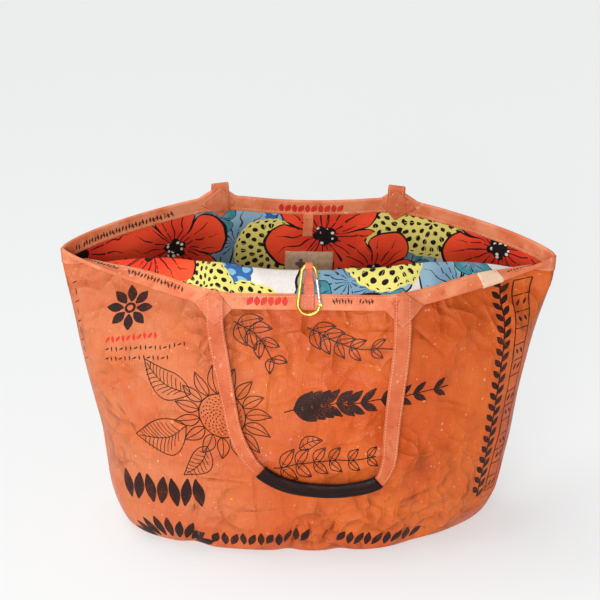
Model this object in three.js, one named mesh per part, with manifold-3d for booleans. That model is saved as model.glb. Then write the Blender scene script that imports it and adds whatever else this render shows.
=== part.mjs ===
// Open carrier bag sewn from a woven feed sack, with a printed cloth lining, a taped rim, two hanging
// strap handles with dark grips, four square patches at the strap feet, and a small spring-gate ring on
// a closing strap. Millimetres, +Z up, the front faces -Y, the origin is under the middle of the base.
import * as THREE from 'three';
import { mergeVertices } from 'three/addons/utils/BufferGeometryUtils.js';
import Module from 'manifold-3d';

const wasm = await Module();
wasm.setup();

// Cloth and tape thicknesses, and the gaps that keep the layers apart
const shellThick = 1.2;
const liningThick = 1.0;
const layerGap = 0.4;
const seatGap = 0.3;
const tapeThick = 1.0;
const strapThick = 1.8;
const patchThick = 1.0;

// Widths and lengths of the sewn parts
const tapeReach = 17;
const patchHalfDiagonal = 21;
const strapWide = 20;
const gripCoreWide = 13;
const gripHigh = 17;
const gripDeep = 8;
const labelWide = 56;
const labelHigh = 29;
const spliceSlack = 0.9;
const tabWide = 12;
const tabLong = 28;
const closureWide = 12;
const closureLoopWide = 8.2;
const closureThick = 1.0;

// The mouth is six-sided: two side corners and four strap feet, each foot at this share of the half width
const footShare = 0.368;
const sideSteps = 9;
const centreSteps = 6;
const quarterSteps = sideSteps + centreSteps;
const columnCount = 4 * quarterSteps;
const ovalPower = 2.4;
const frontEar = 23;
const backEar = 15;
const cornerTilt = 4.5;
const cornerSlack = 0.35;

// Offsets from the middle of the gap between shell and lining, positive towards the outside
const shellInner = layerGap / 2;
const shellOuter = shellInner + shellThick;
const liningOuter = -layerGap / 2;
const liningInner = liningOuter - liningThick;
const tapeOutside = [shellOuter + seatGap, shellOuter + seatGap + tapeThick];
const tapeInside = [liningInner - seatGap, liningInner - seatGap - tapeThick];
const strapLift = tapeInside[1] - seatGap - strapThick / 2;
const patchLift = strapLift - strapThick / 2 - 0.7;
const patchInside = [patchLift, patchLift - patchThick];

// One row for each level of the wall. Half width, sideways shift and height are taken at the side
// corners; depth and height at the middle of the front and of the back. A pinch of 0 is an oval and of 1
// a six-sided outline, a bow above 1 rounds the front's height, and a sag lowers the middle.
const levelColumns = ['name', 'half', 'shift', 'sideZ', 'frontY', 'frontZ', 'backY', 'backZ',
  'frontPinch', 'backPinch', 'bow', 'frontSag', 'backSag'];
const levelRows = [
  ['baseEdge', 203, -4, 0, 93, 0, 92, 0, 0, 0, 1, 0, 0],
  ['underHeel', 213, -4.5, 5, 101, 6, 100, 6, 0, 0, 1, 0, 0],
  ['heel', 220, -4.5, 17, 106, 18, 106, 18, 0, 0, 1, 0, 0],
  ['lowWall', 229, -4.5, 42, 110, 44, 111, 44, 0.05, 0.05, 1, 0, 0],
  ['belly', 236, -3, 85, 113, 84, 115, 86, 0.1, 0.1, 1, 0, 0],
  ['waist', 242, -1.5, 125, 113, 124, 117, 130, 0.15, 0.15, 1, 0, 0],
  ['ribs', 249, -3, 164, 110, 166, 118, 172, 0.2, 0.2, 1, 0, 0],
  ['chest', 257, -3.5, 204, 105, 206, 117, 214, 0.3, 0.3, 1, 0, 0],
  ['upper', 265, -3, 243, 97, 244, 115, 254, 0.45, 0.4, 1, 0, 0],
  ['shoulder', 272, -1, 274, 86, 277, 112, 288, 0.7, 0.5, 1.2, 1, 0],
  ['underFold', 276, 0, 291, 74, 306, 109.5, 314, 1, 0.55, 1.4, 3, 0],
  ['foldIn', 278, 0.5, 299, 57, 337, 107.5, 328, 1.3, 0.6, 1.8, 5, 1],
  ['foldBack', 279, 1, 303, 57.5, 344.5, 107, 333, 1.35, 0.62, 1.9, 6, 2],
  ['foldTop', 280, 1, 307.5, 62.8, 348.6, 106.5, 338, 1.4, 0.63, 1.9, 6, 3],
  ['foldOut', 281, 1, 313, 71, 345.5, 106, 343, 1.4, 0.64, 1.7, 5, 4],
  ['rim', 283, 1, 339, 87, 307, 102, 370, 0.8, 0.65, 1, 0, 8],
];
const levels = levelRows.map((row) => Object.fromEntries(row.map((value, i) => [levelColumns[i], value])));

// Main folds and hollows of the standing cloth. Wide and tall are the reach each way from the middle of
// the fold, depth is inwards, and slant is the sideways run for each millimetre of height.
const foldRows = [
  { name: 'leftHeelNotch', face: -1, x: -134, z: 6, wide: 15, tall: 26, depth: 8, slant: -0.2 },
  { name: 'middleGatherLeft', face: -1, x: -20, z: 10, wide: 13, tall: 30, depth: 6, slant: 0.25 },
  { name: 'middleGatherRight', face: -1, x: 34, z: 12, wide: 14, tall: 34, depth: 6, slant: -0.3 },
  { name: 'rightHeelDip', face: -1, x: 128, z: 18, wide: 20, tall: 30, depth: 5, slant: 0.3 },
  { name: 'lowCrease', face: -1, x: -108, z: 108, wide: 44, tall: 10, depth: 3.5, slant: 0 },
  { name: 'leftFootRidge', face: -1, x: -98, z: 245, wide: 15, tall: 60, depth: -4, slant: 0 },
  { name: 'rightFootRidge', face: -1, x: 104, z: 250, wide: 16, tall: 50, depth: -3.5, slant: 0 },
  { name: 'underRimHollow', face: -1, x: 4, z: 262, wide: 62, tall: 34, depth: 6, slant: 0 },
  { name: 'rightPanelHollow', face: -1, x: 176, z: 205, wide: 34, tall: 70, depth: 5, slant: 0.25 },
  { name: 'leftPanelHollow', face: -1, x: -178, z: 190, wide: 34, tall: 70, depth: 4, slant: -0.2 },
  { name: 'backGatherLeft', face: 1, x: -70, z: 10, wide: 16, tall: 32, depth: 6, slant: -0.2 },
  { name: 'backGatherRight', face: 1, x: 52, z: 12, wide: 15, tall: 30, depth: 6, slant: 0.25 },
  { name: 'backHollow', face: 1, x: 12, z: 225, wide: 70, tall: 60, depth: 5, slant: 0 },
  { name: 'backLeftRidge', face: 1, x: -110, z: 260, wide: 18, tall: 60, depth: -4, slant: 0 },
  { name: 'backRightRidge', face: 1, x: 110, z: 260, wide: 18, tall: 60, depth: -4, slant: 0 },
];

// Hanging handles: the middle line of the strap from foot to foot. Tip is the lean of its shown face, 0
// towards the front, 90 up and 180 towards the back. Turn swings that face to the side.
const handleColumns = ['name', 'x', 'y', 'z', 'tip', 'turn', 'wide'];
const frontHandleRows = [
  ['leftNeck', -100, -99.4, 262, 8, -8, 20],
  ['leftUpper', -95, -107, 235, 6, -14, 19],
  ['leftMiddle', -89, -113, 202, 3, -24, 18],
  ['leftLower', -82, -118, 168, 0, -20, 18],
  ['leftElbow', -71, -120, 142, 0, -10, 17],
  ['gripStart', -54, -121, 120.5, 0, 0, 13],
  ['gripLeft', -27, -122, 104, 0, 0, 13],
  ['gripMiddle', 10, -122, 96.5, 0, 0, 13],
  ['gripRight', 46, -122, 97, 0, 0, 13],
  ['gripEnd', 81, -121, 107.5, 0, 0, 13],
  ['rightElbow', 91, -120, 127, 0, 8, 17],
  ['rightLower', 94, -118, 160, 0, 12, 19],
  ['rightMiddle', 98, -112, 202, 3, 10, 20],
  ['rightUpper', 102, -106, 236, 6, 8, 20],
  ['rightNeck', 105, -99.4, 260, 8, 6, 20],
];
const backHandleRows = [
  ['leftNeck', -105, 112, 354, 180, 4, 20],
  ['leftUpper', -104, 119, 310, 180, 6, 20],
  ['leftMiddle', -100, 122, 265, 180, 12, 20],
  ['leftLower', -88, 123, 225, 180, 10, 18],
  ['leftElbow', -73, 123, 202, 180, 4, 16],
  ['gripStart', -54, 124, 186, 180, 0, 13],
  ['gripLeft', -27, 124, 173, 180, 0, 13],
  ['gripMiddle', 2, 124, 168, 180, 0, 13],
  ['gripRight', 31, 124, 172, 180, 0, 13],
  ['gripEnd', 58, 124, 185, 180, 0, 13],
  ['rightElbow', 76, 123, 201, 180, -4, 16],
  ['rightLower', 90, 123, 226, 180, -10, 18],
  ['rightMiddle', 100, 122, 266, 180, -10, 20],
  ['rightUpper', 104, 119, 310, 180, -5, 20],
  ['rightNeck', 105, 112, 354, 180, -4, 20],
];

// Ring with its spring gate, measured up the turned-out front from the rim
const wireRadius = 2.1;
const ringLow = { up: 6.4, radius: 12.2 };
const ringHigh = { up: 42.0, radius: 7.8 };
const ringLift = 6.6;
const gateRadius = 1.9;
const gateLong = 27;
const gateClearance = 0.5;
const pinRadius = 0.8;
const pinClearance = 0.25;
const tongueThick = 1.5;
const tongueReach = 1.7;
const wireEndAngle = 0.29;
const cheekGap = 0.25;
const wireSides = 12;

const mix = (a, b, t) => a + (b - a) * t;

// Share of the way from a side corner to the flat middle stretch, eased at the strap foot so that the
// cloth is flat under the strap
function middleShare(step) {
  if (step === sideSteps) return 1 - 0.5 / sideSteps;
  return Math.min(1, step / sideSteps);
}

// Share of the half width at which a column stands, for an outline between oval and six-sided
function widthShare(step, pinch) {
  if (step > sideSteps) return footShare * (quarterSteps - step) / centreSteps;
  const round = Math.cos(Math.acos(footShare) * step / sideSteps);
  const straight = 1 - (1 - footShare) * step / sideSteps;
  return mix(round, straight, pinch);
}

function foldDepth(face, x, z) {
  let depth = 0;
  for (const fold of foldRows) {
    if (fold.face !== face) continue;
    const across = (x - fold.x - fold.slant * (z - fold.z)) / fold.wide;
    const along = (z - fold.z) / fold.tall;
    depth += fold.depth * Math.exp(-across * across - along * along);
  }
  return depth;
}

// A point of the middle surface. Columns run from the left corner along the front and return by the back
function levelPoint(level, column) {
  const face = column <= 2 * quarterSteps ? -1 : 1;
  const fromLeft = column <= 2 * quarterSteps ? column : columnCount - column;
  const step = Math.min(fromLeft, 2 * quarterSteps - fromLeft);
  const side = fromLeft < quarterSteps ? -1 : 1;
  const name = face < 0 ? 'front' : 'back';
  const pinch = level[`${name}Pinch`];
  const share = widthShare(step, Math.min(1, pinch));
  const middle = middleShare(step);
  const oval = Math.max(0, 1 - share ** ovalPower) ** (1 / ovalPower);
  const rise = 1 - (1 - middle) ** (face < 0 ? level.bow : 1);
  const droop = Math.max(0, 1 - (share / footShare) ** 2);
  let z = mix(level.sideZ, level[`${name}Z`], rise) - level[`${name}Sag`] * droop;
  z -= cornerTilt * side * share * z / levels.at(-1).sideZ;
  const x = level.shift + side * level.half * share;
  const fade = Math.min(1, step / 3);
  const outline = Math.max(0, mix(oval, middle, pinch));
  const depth = level[`${name}Y`] * outline - fade * foldDepth(face, x, z);
  return new THREE.Vector3(x, face * depth, z + shellOuter);
}

// Rows of middle-surface points. The rim is drawn out into an ear at each strap foot, and a further row
// marks where the rim tape ends.
function wallRows() {
  const rows = levels.map((level) => Array.from({ length: columnCount }, (_, c) => levelPoint(level, c)));
  const rim = rows.at(-1);
  const below = rows.at(-2);
  const tapeRow = rim.map((point, c) => {
    const up = point.clone().sub(below[c]).normalize();
    const front = c < 2 * quarterSteps;
    if (footColumns.includes(c)) point.addScaledVector(up, front ? frontEar : backEar);
    return point.clone().addScaledVector(up, -tapeReach);
  });
  rows.splice(rows.length - 1, 0, tapeRow);
  for (const point of rows[0]) point.z = shellOuter;
  return rows;
}

const footColumns = [sideSteps, 2 * quarterSteps - sideSteps, 2 * quarterSteps + sideSteps,
  columnCount - sideSteps];

// Triangles between a lower and an upper ring of points, always split along the same diagonal
function bandFaces(lower, upper, outward, closed = true) {
  const faces = [];
  const count = closed ? lower.length : lower.length - 1;
  for (let c = 0; c < count; c += 1) {
    const next = (c + 1) % lower.length;
    const pair = [[lower[c], lower[next], upper[next]], [lower[c], upper[next], upper[c]]];
    faces.push(...pair.map((face) => (outward ? face : face.reverse())));
  }
  return faces;
}

// The base is a ladder of strips from each front column to the back column behind it
function baseFaces(ring, downward) {
  const faces = [];
  const back = (k) => ring[(columnCount - k) % columnCount];
  for (let k = 0; k < 2 * quarterSteps; k += 1) {
    if (k > 0) faces.push([ring[k], back(k), back(k + 1)]);
    if (k < 2 * quarterSteps - 1) faces.push([ring[k], back(k + 1), ring[k + 1]]);
  }
  return faces.map((face) => (downward ? face : face.reverse()));
}

const rows = wallRows();
const lastRow = rows.length - 1;
const flatPoints = rows.flat();
const pointIndex = (row, column) => row * columnCount + column;
const ringIndex = (row, base = 0) => rows[0].map((_, c) => base + pointIndex(row, c));

// Outward direction at each point, stretched at folds so that a layer keeps its thickness
function outwardDirections() {
  const faces = rows.slice(1).flatMap((_, r) => bandFaces(ringIndex(r), ringIndex(r + 1), true));
  faces.push(...baseFaces(ringIndex(0), true));
  const sums = flatPoints.map(() => new THREE.Vector3());
  const meeting = flatPoints.map(() => []);
  for (const face of faces) {
    const [a, b, c] = face.map((i) => flatPoints[i]);
    const normal = b.clone().sub(a).cross(c.clone().sub(a)).normalize();
    for (const i of face) {
      sums[i].add(normal);
      meeting[i].push(normal);
    }
  }
  return sums.map((sum, i) => {
    const normal = sum.normalize();
    const lean = meeting[i].reduce((total, other) => total + other.dot(normal), 0) / meeting[i].length;
    const direction = normal.clone().divideScalar(Math.max(0.55, lean));
    if (i < columnCount) direction.z = -1;
    return direction;
  });
}

const outward = outwardDirections();

// A point of the wall at a broken column and row, lifted from the middle surface. It lies on the same
// triangles as the layers do.
function wallPoint(column, row, lift) {
  const wrapped = (column + columnCount) % columnCount;
  const c = Math.floor(wrapped);
  const r = Math.min(lastRow - 1, Math.max(0, Math.floor(row)));
  const a = wrapped - c;
  const b = row - r;
  const at = (dc, dr) => {
    const i = pointIndex(r + dr, (c + dc) % columnCount);
    return flatPoints[i].clone().addScaledVector(outward[i], lift);
  };
  const corner = at(0, 0);
  const far = at(1, 1);
  const turn = a >= b ? at(1, 0) : at(0, 1);
  const alongColumn = a >= b ? turn.clone().sub(corner) : far.clone().sub(turn);
  const alongRow = a >= b ? far.clone().sub(turn) : turn.clone().sub(corner);
  return corner.addScaledVector(alongColumn, a).addScaledVector(alongRow, b);
}

// The broken row that lies a given length of cloth below the rim
function rowBelowRim(column, length) {
  let left = length;
  for (let r = lastRow; r > 0; r -= 1) {
    const span = wallPoint(column, r, 0).distanceTo(wallPoint(column, r - 1, 0));
    if (left <= span) return r - left / span;
    left -= span;
  }
  return 0;
}

function solidFrom(points, faces) {
  const geometry = new THREE.BufferGeometry();
  const positions = points.flatMap((point) => [point.x, point.y, point.z]);
  geometry.setAttribute('position', new THREE.Float32BufferAttribute(positions, 3));
  geometry.setIndex(faces.flat());
  geometry.computeVertexNormals();
  return geometry;
}

// A layer of the bag: walls and base between two offsets, closed along the rim
function bagLayer(outer, inner) {
  const points = [outer, inner].flatMap((lift) =>
    flatPoints.map((point, i) => point.clone().addScaledVector(outward[i], lift)));
  const shift = flatPoints.length;
  const faces = [...baseFaces(ringIndex(0), true), ...baseFaces(ringIndex(0, shift), false)];
  for (let r = 0; r < lastRow; r += 1) {
    faces.push(...bandFaces(ringIndex(r), ringIndex(r + 1), true));
    faces.push(...bandFaces(ringIndex(r, shift), ringIndex(r + 1, shift), false));
  }
  faces.push(...bandFaces(ringIndex(lastRow), ringIndex(lastRow, shift), true));
  return solidFrom(points, faces);
}

// Eight corners of the folded tape over the rim, at one column. The tape stands off a little more where it
// turns round a side corner.
function tapeSection(column, slack) {
  const low = lastRow - 1;
  const fromCorner = Math.min(column, Math.abs(column - 2 * quarterSteps), columnCount - column);
  const extra = slack + (fromCorner < 1.5 ? cornerSlack : 0);
  const up = wallPoint(column, lastRow, 0).sub(wallPoint(column, low, 0)).normalize();
  const corner = (row, lift, beyond) => wallPoint(column, row, lift).addScaledVector(up, beyond);
  const outside = tapeOutside.map((lift) => lift + extra);
  const inside = tapeInside.map((lift) => lift - extra);
  const bridge = [seatGap + extra, seatGap + extra + tapeThick];
  return [
    corner(low, outside[1], 0), corner(lastRow, outside[1], bridge[1]),
    corner(low, inside[1], 0), corner(lastRow, inside[1], bridge[1]),
    corner(low, inside[0], 0), corner(lastRow, inside[0], bridge[0]),
    corner(low, outside[0], 0), corner(lastRow, outside[0], bridge[0]),
  ];
}

// Folded tape along the rim, either all the way round or as a short wrap with closed ends
function rimTape(columns, extra, closed) {
  const sections = columns.map((column) => tapeSection(column, extra));
  const ring = (corner) => sections.map((_, i) => corner * sections.length + i);
  const points = Array.from({ length: 8 }, (_, corner) => sections.map((s) => s[corner])).flat();
  const faces = [
    ...bandFaces(ring(0), ring(1), true, closed),
    ...bandFaces(ring(1), ring(3), true, closed),
    ...bandFaces(ring(2), ring(3), false, closed),
    ...bandFaces(ring(4), ring(2), false, closed),
    ...bandFaces(ring(4), ring(5), true, closed),
    ...bandFaces(ring(7), ring(5), false, closed),
    ...bandFaces(ring(6), ring(7), false, closed),
    ...bandFaces(ring(6), ring(0), true, closed),
  ];
  if (!closed) {
    const caps = [[0, 1, 7, 6], [1, 3, 5, 7], [3, 2, 4, 5]];
    const last = sections.length - 1;
    for (const cap of caps) {
      const start = cap.map((corner) => corner * sections.length);
      const end = start.map((i) => i + last);
      faces.push([start[0], start[1], start[2]], [start[0], start[2], start[3]]);
      faces.push([end[2], end[1], end[0]], [end[3], end[2], end[0]]);
    }
  }
  return solidFrom(points, faces);
}

// A sheet whose points come from a function of two shares, with a thickness between two lifts
function wallSheet(place, across, down, lifts) {
  const points = [];
  for (const lift of lifts) {
    for (let j = 0; j <= down; j += 1) {
      for (let i = 0; i <= across; i += 1) points.push(place(i / across, j / down, lift));
    }
  }
  const wide = across + 1;
  const layer = wide * (down + 1);
  const line = (j, base) => Array.from({ length: wide }, (_, i) => base + j * wide + i);
  const faces = [];
  for (let j = 0; j < down; j += 1) {
    faces.push(...bandFaces(line(j + 1, 0), line(j, 0), true, false));
    faces.push(...bandFaces(line(j + 1, layer), line(j, layer), false, false));
  }
  const edge = [];
  for (let i = 0; i < across; i += 1) edge.push(i);
  for (let j = 0; j < down; j += 1) edge.push(j * wide + across);
  for (let i = across; i > 0; i -= 1) edge.push(down * wide + i);
  for (let j = down; j > 0; j -= 1) edge.push(j * wide);
  faces.push(...bandFaces(edge, edge.map((i) => i + layer), true));
  return solidFrom(points, faces);
}

// Square patch standing on its corner over the foot of a strap, on the lining side of the ear
function strapPatch(footColumn) {
  const ear = footColumn < 2 * quarterSteps ? frontEar : backEar;
  const rimSpan = wallPoint(footColumn + 1, lastRow, 0).distanceTo(wallPoint(footColumn - 1, lastRow, 0));
  const columnWide = rimSpan / 2;
  const place = (s, t, lift) => {
    const along = (s - t) * patchHalfDiagonal;
    const below = (2 - s - t) * patchHalfDiagonal - ear * Math.min(1, Math.abs(along) / columnWide);
    const column = footColumn + along / columnWide;
    return wallPoint(column, rowBelowRim(column, Math.max(0, below)), lift);
  };
  return wallSheet(place, 6, 6, patchInside);
}

// Turn a mesh inside out when its volume comes out negative
function facingOut(geometry) {
  const position = geometry.getAttribute('position');
  const index = geometry.getIndex().array;
  const corner = (i) => new THREE.Vector3().fromBufferAttribute(position, index[i]);
  let volume = 0;
  for (let i = 0; i < index.length; i += 3) volume += corner(i).cross(corner(i + 1)).dot(corner(i + 2));
  if (volume < 0) geometry.setIndex(Array.from(index).reverse());
  geometry.computeVertexNormals();
  return geometry;
}

// A solid lofted through sections that all have the same number of points
function loft(sections) {
  const sides = sections[0].length;
  const ring = (i) => Array.from({ length: sides }, (_, k) => i * sides + k);
  const faces = [];
  for (let i = 1; i < sections.length; i += 1) faces.push(...bandFaces(ring(i - 1), ring(i), true));
  const cap = (base) => Array.from({ length: sides - 2 }, (_, k) => [base, base + k + 2, base + k + 1]);
  faces.push(...cap(0), ...cap((sections.length - 1) * sides).map((face) => face.reverse()));
  return facingOut(solidFrom(sections.flat(), faces));
}

// Places along a strap: point, width direction and face direction
function strapFrames(stations, steps) {
  const curve = new THREE.CatmullRomCurve3(stations.map((s) => s.point), false, 'centripetal');
  const frames = [];
  for (let i = 0; i <= steps; i += 1) {
    const t = i / steps;
    const place = t * (stations.length - 1);
    const from = Math.min(stations.length - 2, Math.floor(place));
    const [a, b] = [stations[from], stations[from + 1]];
    const ease = place - from;
    const tangent = curve.getTangent(t);
    const face = a.face.clone().lerp(b.face, ease).normalize();
    const side = tangent.clone().cross(face).normalize();
    frames.push({
      place,
      point: curve.getPoint(t),
      side,
      face: side.clone().cross(tangent).normalize(),
      wide: mix(a.wide, b.wide, ease),
    });
  }
  return frames;
}

function sectionPoint(frame, across, out) {
  return frame.point.clone().addScaledVector(frame.side, across).addScaledVector(frame.face, out);
}

function ribbon(frames, thick) {
  return loft(frames.map((frame) => [[-1, -1], [1, -1], [1, 1], [-1, 1]].map(([across, out]) =>
    sectionPoint(frame, across * frame.wide / 2, out * thick / 2))));
}

function faceDirection(tip, turn) {
  const [lean, swing] = [tip, turn].map((angle) => THREE.MathUtils.degToRad(angle));
  const ahead = Math.cos(swing);
  return new THREE.Vector3(Math.sin(swing), -Math.cos(lean) * ahead, Math.sin(lean) * ahead);
}

// The end of a strap under its patch, at these lengths down the cloth from the tip of the ear
function strapFoot(footColumn, lengths) {
  return lengths.map((length) => {
    const row = rowBelowRim(footColumn, length);
    const face = wallPoint(footColumn, row, -1).sub(wallPoint(footColumn, row, 0)).normalize();
    return { name: 'foot', point: wallPoint(footColumn, row, strapLift), face, wide: strapWide };
  });
}

function handleStations(handleRows, leftFoot, rightFoot) {
  const middle = handleRows.map((row) => {
    const entry = Object.fromEntries(row.map((value, i) => [handleColumns[i], value]));
    const point = new THREE.Vector3(entry.x, entry.y, entry.z);
    return { name: entry.name, point, face: faceDirection(entry.tip, entry.turn), wide: entry.wide };
  });
  return [...leftFoot, ...middle, ...rightFoot.reverse()];
}

// Where the back strap turns over the tip of its ear, from the lining side to the outside
function backTurn(footColumn) {
  const tip = wallPoint(footColumn, lastRow, 0);
  const up = tip.clone().sub(wallPoint(footColumn, lastRow - 1, 0)).normalize();
  const inward = wallPoint(footColumn, lastRow, -1).sub(tip).normalize();
  const outside = tapeOutside[1] + seatGap + strapThick / 2;
  const middle = (outside + strapLift) / 2;
  const radius = (outside - strapLift) / 2;
  return [60, 90, 120, 180].map((angle) => {
    const turn = THREE.MathUtils.degToRad(angle);
    const across = middle - radius * Math.cos(turn);
    const above = tapeThick + seatGap + 0.6 + radius * Math.sin(turn);
    const point = tip.clone().addScaledVector(inward, -across).addScaledVector(up, above);
    const face = inward.clone().multiplyScalar(Math.cos(turn)).addScaledVector(up, Math.sin(turn));
    return { name: 'turn', point, face, wide: strapWide };
  });
}

// Oval sleeve around the middle of a handle, with the strap running through it
function gripSleeve(frames, from, to) {
  const inside = frames.filter((frame) => frame.place >= from && frame.place <= to);
  const sides = 12;
  const ring = (frame, high, deep, power) => Array.from({ length: sides }, (_, k) => {
    const angle = 2 * Math.PI * (k + 0.5) / sides;
    const [c, s] = [Math.cos(angle), Math.sin(angle)];
    const across = Math.sign(c) * Math.abs(c) ** power * high / 2;
    const out = Math.sign(s) * Math.abs(s) ** power * deep / 2;
    return sectionPoint(frame, across, out);
  });
  const holeWide = gripCoreWide + 3 * seatGap;
  const holeDeep = strapThick + 3 * seatGap;
  const last = inside.length - 1;
  const outer = inside.map((frame, i) => {
    const end = i === 0 || i === last ? 0.86 : 1;
    return ring(frame, gripHigh * end, gripDeep * end, 0.8);
  });
  const inner = inside.map((frame) => ring(frame, holeWide, holeDeep, 0.35));
  const points = [...outer.flat(), ...inner.flat()];
  const loop = (i, base) => Array.from({ length: sides }, (_, k) => base + i * sides + k);
  const shift = outer.length * sides;
  const faces = [];
  for (let i = 0; i < last; i += 1) {
    faces.push(...bandFaces(loop(i, 0), loop(i + 1, 0), true));
    faces.push(...bandFaces(loop(i, shift), loop(i + 1, shift), false));
  }
  faces.push(...bandFaces(loop(0, 0), loop(0, shift), false));
  faces.push(...bandFaces(loop(last, 0), loop(last, shift), true));
  return facingOut(solidFrom(points, faces));
}

// Frame on the turned-out front: up the cloth from the rim, and out from its lining side
const clipSpot = (() => {
  const rim = wallPoint(quarterSteps, lastRow, 0);
  const up = wallPoint(quarterSteps, lastRow - 1, 0).sub(rim).normalize();
  const across = new THREE.Vector3(1, 0, 0);
  const out = up.clone().cross(across).normalize();
  return { rim, up, across, out: out.y < 0 ? out : out.negate() };
})();

function clipPoint(x, up, out) {
  return clipSpot.rim.clone().addScaledVector(clipSpot.across, x)
    .addScaledVector(clipSpot.up, up).addScaledVector(clipSpot.out, out);
}

// Closing strap: sewn down over the tape, up the cloth, round the top of the ring and back under itself
function closureStrap() {
  const onTape = -tapeInside[1] + seatGap + closureThick / 2;
  const onLining = -liningInner + seatGap + closureThick / 2;
  const doubled = onLining + closureThick + seatGap;
  const wireUp = ringHigh.up + ringHigh.radius;
  const wrap = wireRadius + seatGap + 0.05 + closureThick / 2;
  const inset = wireUp - 1.6;
  const wide = closureWide;
  const slim = closureLoopWide;
  const path = [
    [2, onTape, wide], [10, onTape, wide], [18.5, onTape, wide], [24, onLining + 0.2, wide],
    [33, onLining, 11], [40, onLining + 0.1, slim], [44.5, onLining + 0.7, slim],
    [inset, ringLift - wrap, slim], [wireUp, ringLift - wrap, slim],
    [wireUp + 0.7 * wrap, ringLift - 0.7 * wrap, slim], [wireUp + wrap, ringLift, slim],
    [wireUp + 0.7 * wrap, ringLift + 0.7 * wrap, slim], [wireUp, ringLift + wrap, slim],
    [inset, ringLift + wrap, slim], [inset - 0.75 * wrap, ringLift + 0.66 * wrap, slim],
    [inset - wrap, ringLift, slim], [inset - 1.15 * wrap, ringLift - 0.8 * wrap, slim],
    [41, doubled + 0.4, slim], [37, doubled, slim], [27, doubled + 0.3, wide - 1],
  ];
  const sections = path.map(([up, out, across], i) => {
    const before = path[Math.max(0, i - 1)];
    const after = path[Math.min(path.length - 1, i + 1)];
    const run = new THREE.Vector2(after[0] - before[0], after[1] - before[1]).normalize();
    const half = closureThick / 2;
    return [[-1, -1], [1, -1], [1, 1], [-1, 1]].map(([side, face]) =>
      clipPoint(side * across / 2, up - face * half * run.y, out + face * half * run.x));
  });
  return loft(sections);
}

// Right-hand straight of the ring, from the end of the low arc to the start of the high arc
const ringSlope = Math.asin((ringLow.radius - ringHigh.radius) / (ringHigh.up - ringLow.up));
const onArc = (arc, angle) => [arc.radius * Math.cos(angle), arc.up + arc.radius * Math.sin(angle)];
const hingeSpot = onArc(ringLow, ringSlope);
const straightRun = [-Math.sin(ringSlope), Math.cos(ringSlope)];
const alongStraight = (length, off = 0) => [
  hingeSpot[0] + straightRun[0] * length + straightRun[1] * off,
  hingeSpot[1] + straightRun[1] * length - straightRun[0] * off,
];

// Round wire through places in the ring's plane, lofted with its sections square to the run
function wireLoft(places, radius, sides) {
  const sections = places.map(([x, up], i) => {
    const before = places[Math.max(0, i - 1)];
    const after = places[Math.min(places.length - 1, i + 1)];
    const run = new THREE.Vector2(after[0] - before[0], after[1] - before[1]).normalize();
    return Array.from({ length: sides }, (_, k) => {
      const angle = 2 * Math.PI * k / sides;
      const across = radius * Math.cos(angle);
      return clipPoint(x + across * run.y, up - across * run.x, ringLift + radius * Math.sin(angle));
    });
  });
  return loft(sections);
}

function manifoldFrom(geometry) {
  const bare = geometry.clone();
  bare.deleteAttribute('normal');
  bare.deleteAttribute('uv');
  const merged = mergeVertices(bare, 1e-4);
  return new wasm.Manifold(new wasm.Mesh({
    numProp: 3,
    vertProperties: new Float32Array(merged.getAttribute('position').array),
    triVerts: new Uint32Array(merged.getIndex().array),
  }));
}

function geometryFrom(manifold) {
  const mesh = manifold.getMesh();
  const geometry = new THREE.BufferGeometry();
  geometry.setAttribute('position', new THREE.Float32BufferAttribute(Array.from(mesh.vertProperties), 3));
  geometry.setIndex(Array.from(mesh.triVerts));
  geometry.computeVertexNormals();
  return geometry;
}

// A block or pin in the ring's plane: its outline is drawn in the plane and it is thick across it
function ringBlock(outline, low, high) {
  const sections = [low, high].map((out) => outline.map(([x, up]) => clipPoint(x, up, ringLift + out)));
  return loft(sections);
}

const roundOutline = (radius, sides) => Array.from({ length: sides }, (_, k) => {
  const angle = 2 * Math.PI * k / sides;
  return [hingeSpot[0] + radius * Math.cos(angle), hingeSpot[1] + radius * Math.sin(angle)];
});

function tongueOutline(from, to, half) {
  return [alongStraight(from, half), alongStraight(to - 0.8, half), alongStraight(to, 0.45 * half),
    alongStraight(to, -0.45 * half), alongStraight(to - 0.8, -half), alongStraight(from, -half)];
}

function clipRing() {
  const arc = (shape, from, to, steps) => Array.from({ length: steps + 1 }, (_, i) =>
    onArc(shape, mix(from, to, i / steps)));
  const noseStart = alongStraight(gateLong + gateClearance);
  const places = [
    noseStart,
    ...arc(ringHigh, ringSlope, Math.PI - ringSlope, 12),
    ...arc(ringLow, Math.PI - ringSlope, 2 * Math.PI + ringSlope - wireEndAngle, 18),
  ];
  const wire = manifoldFrom(wireLoft(places, wireRadius, wireSides));
  const tongueEdge = tongueOutline(-4.2, tongueReach, 1.5);
  const tongue = manifoldFrom(ringBlock(tongueEdge, -tongueThick / 2, tongueThick / 2));
  const pin = manifoldFrom(ringBlock(roundOutline(pinRadius, 10), -wireRadius, wireRadius));
  return geometryFrom(wire.add(tongue).add(pin));
}

function clipGate() {
  const rodStart = tongueReach + 1.1;
  const rod = manifoldFrom(wireLoft([alongStraight(rodStart), alongStraight(rodStart + 1.2),
    alongStraight(gateLong - 1), alongStraight(gateLong)], gateRadius, wireSides));
  const cheekLow = tongueThick / 2 + cheekGap;
  const hole = manifoldFrom(ringBlock(roundOutline(pinRadius + pinClearance, 10), -4, 4));
  const cheeks = [-1, 1].map((side) => {
    const block = ringBlock(tongueOutline(rodStart + 1, -1.65, 1.6), side * cheekLow, side * gateRadius);
    return manifoldFrom(block).subtract(hole);
  });
  return geometryFrom(rod.add(cheeks[0]).add(cheeks[1]));
}

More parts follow.
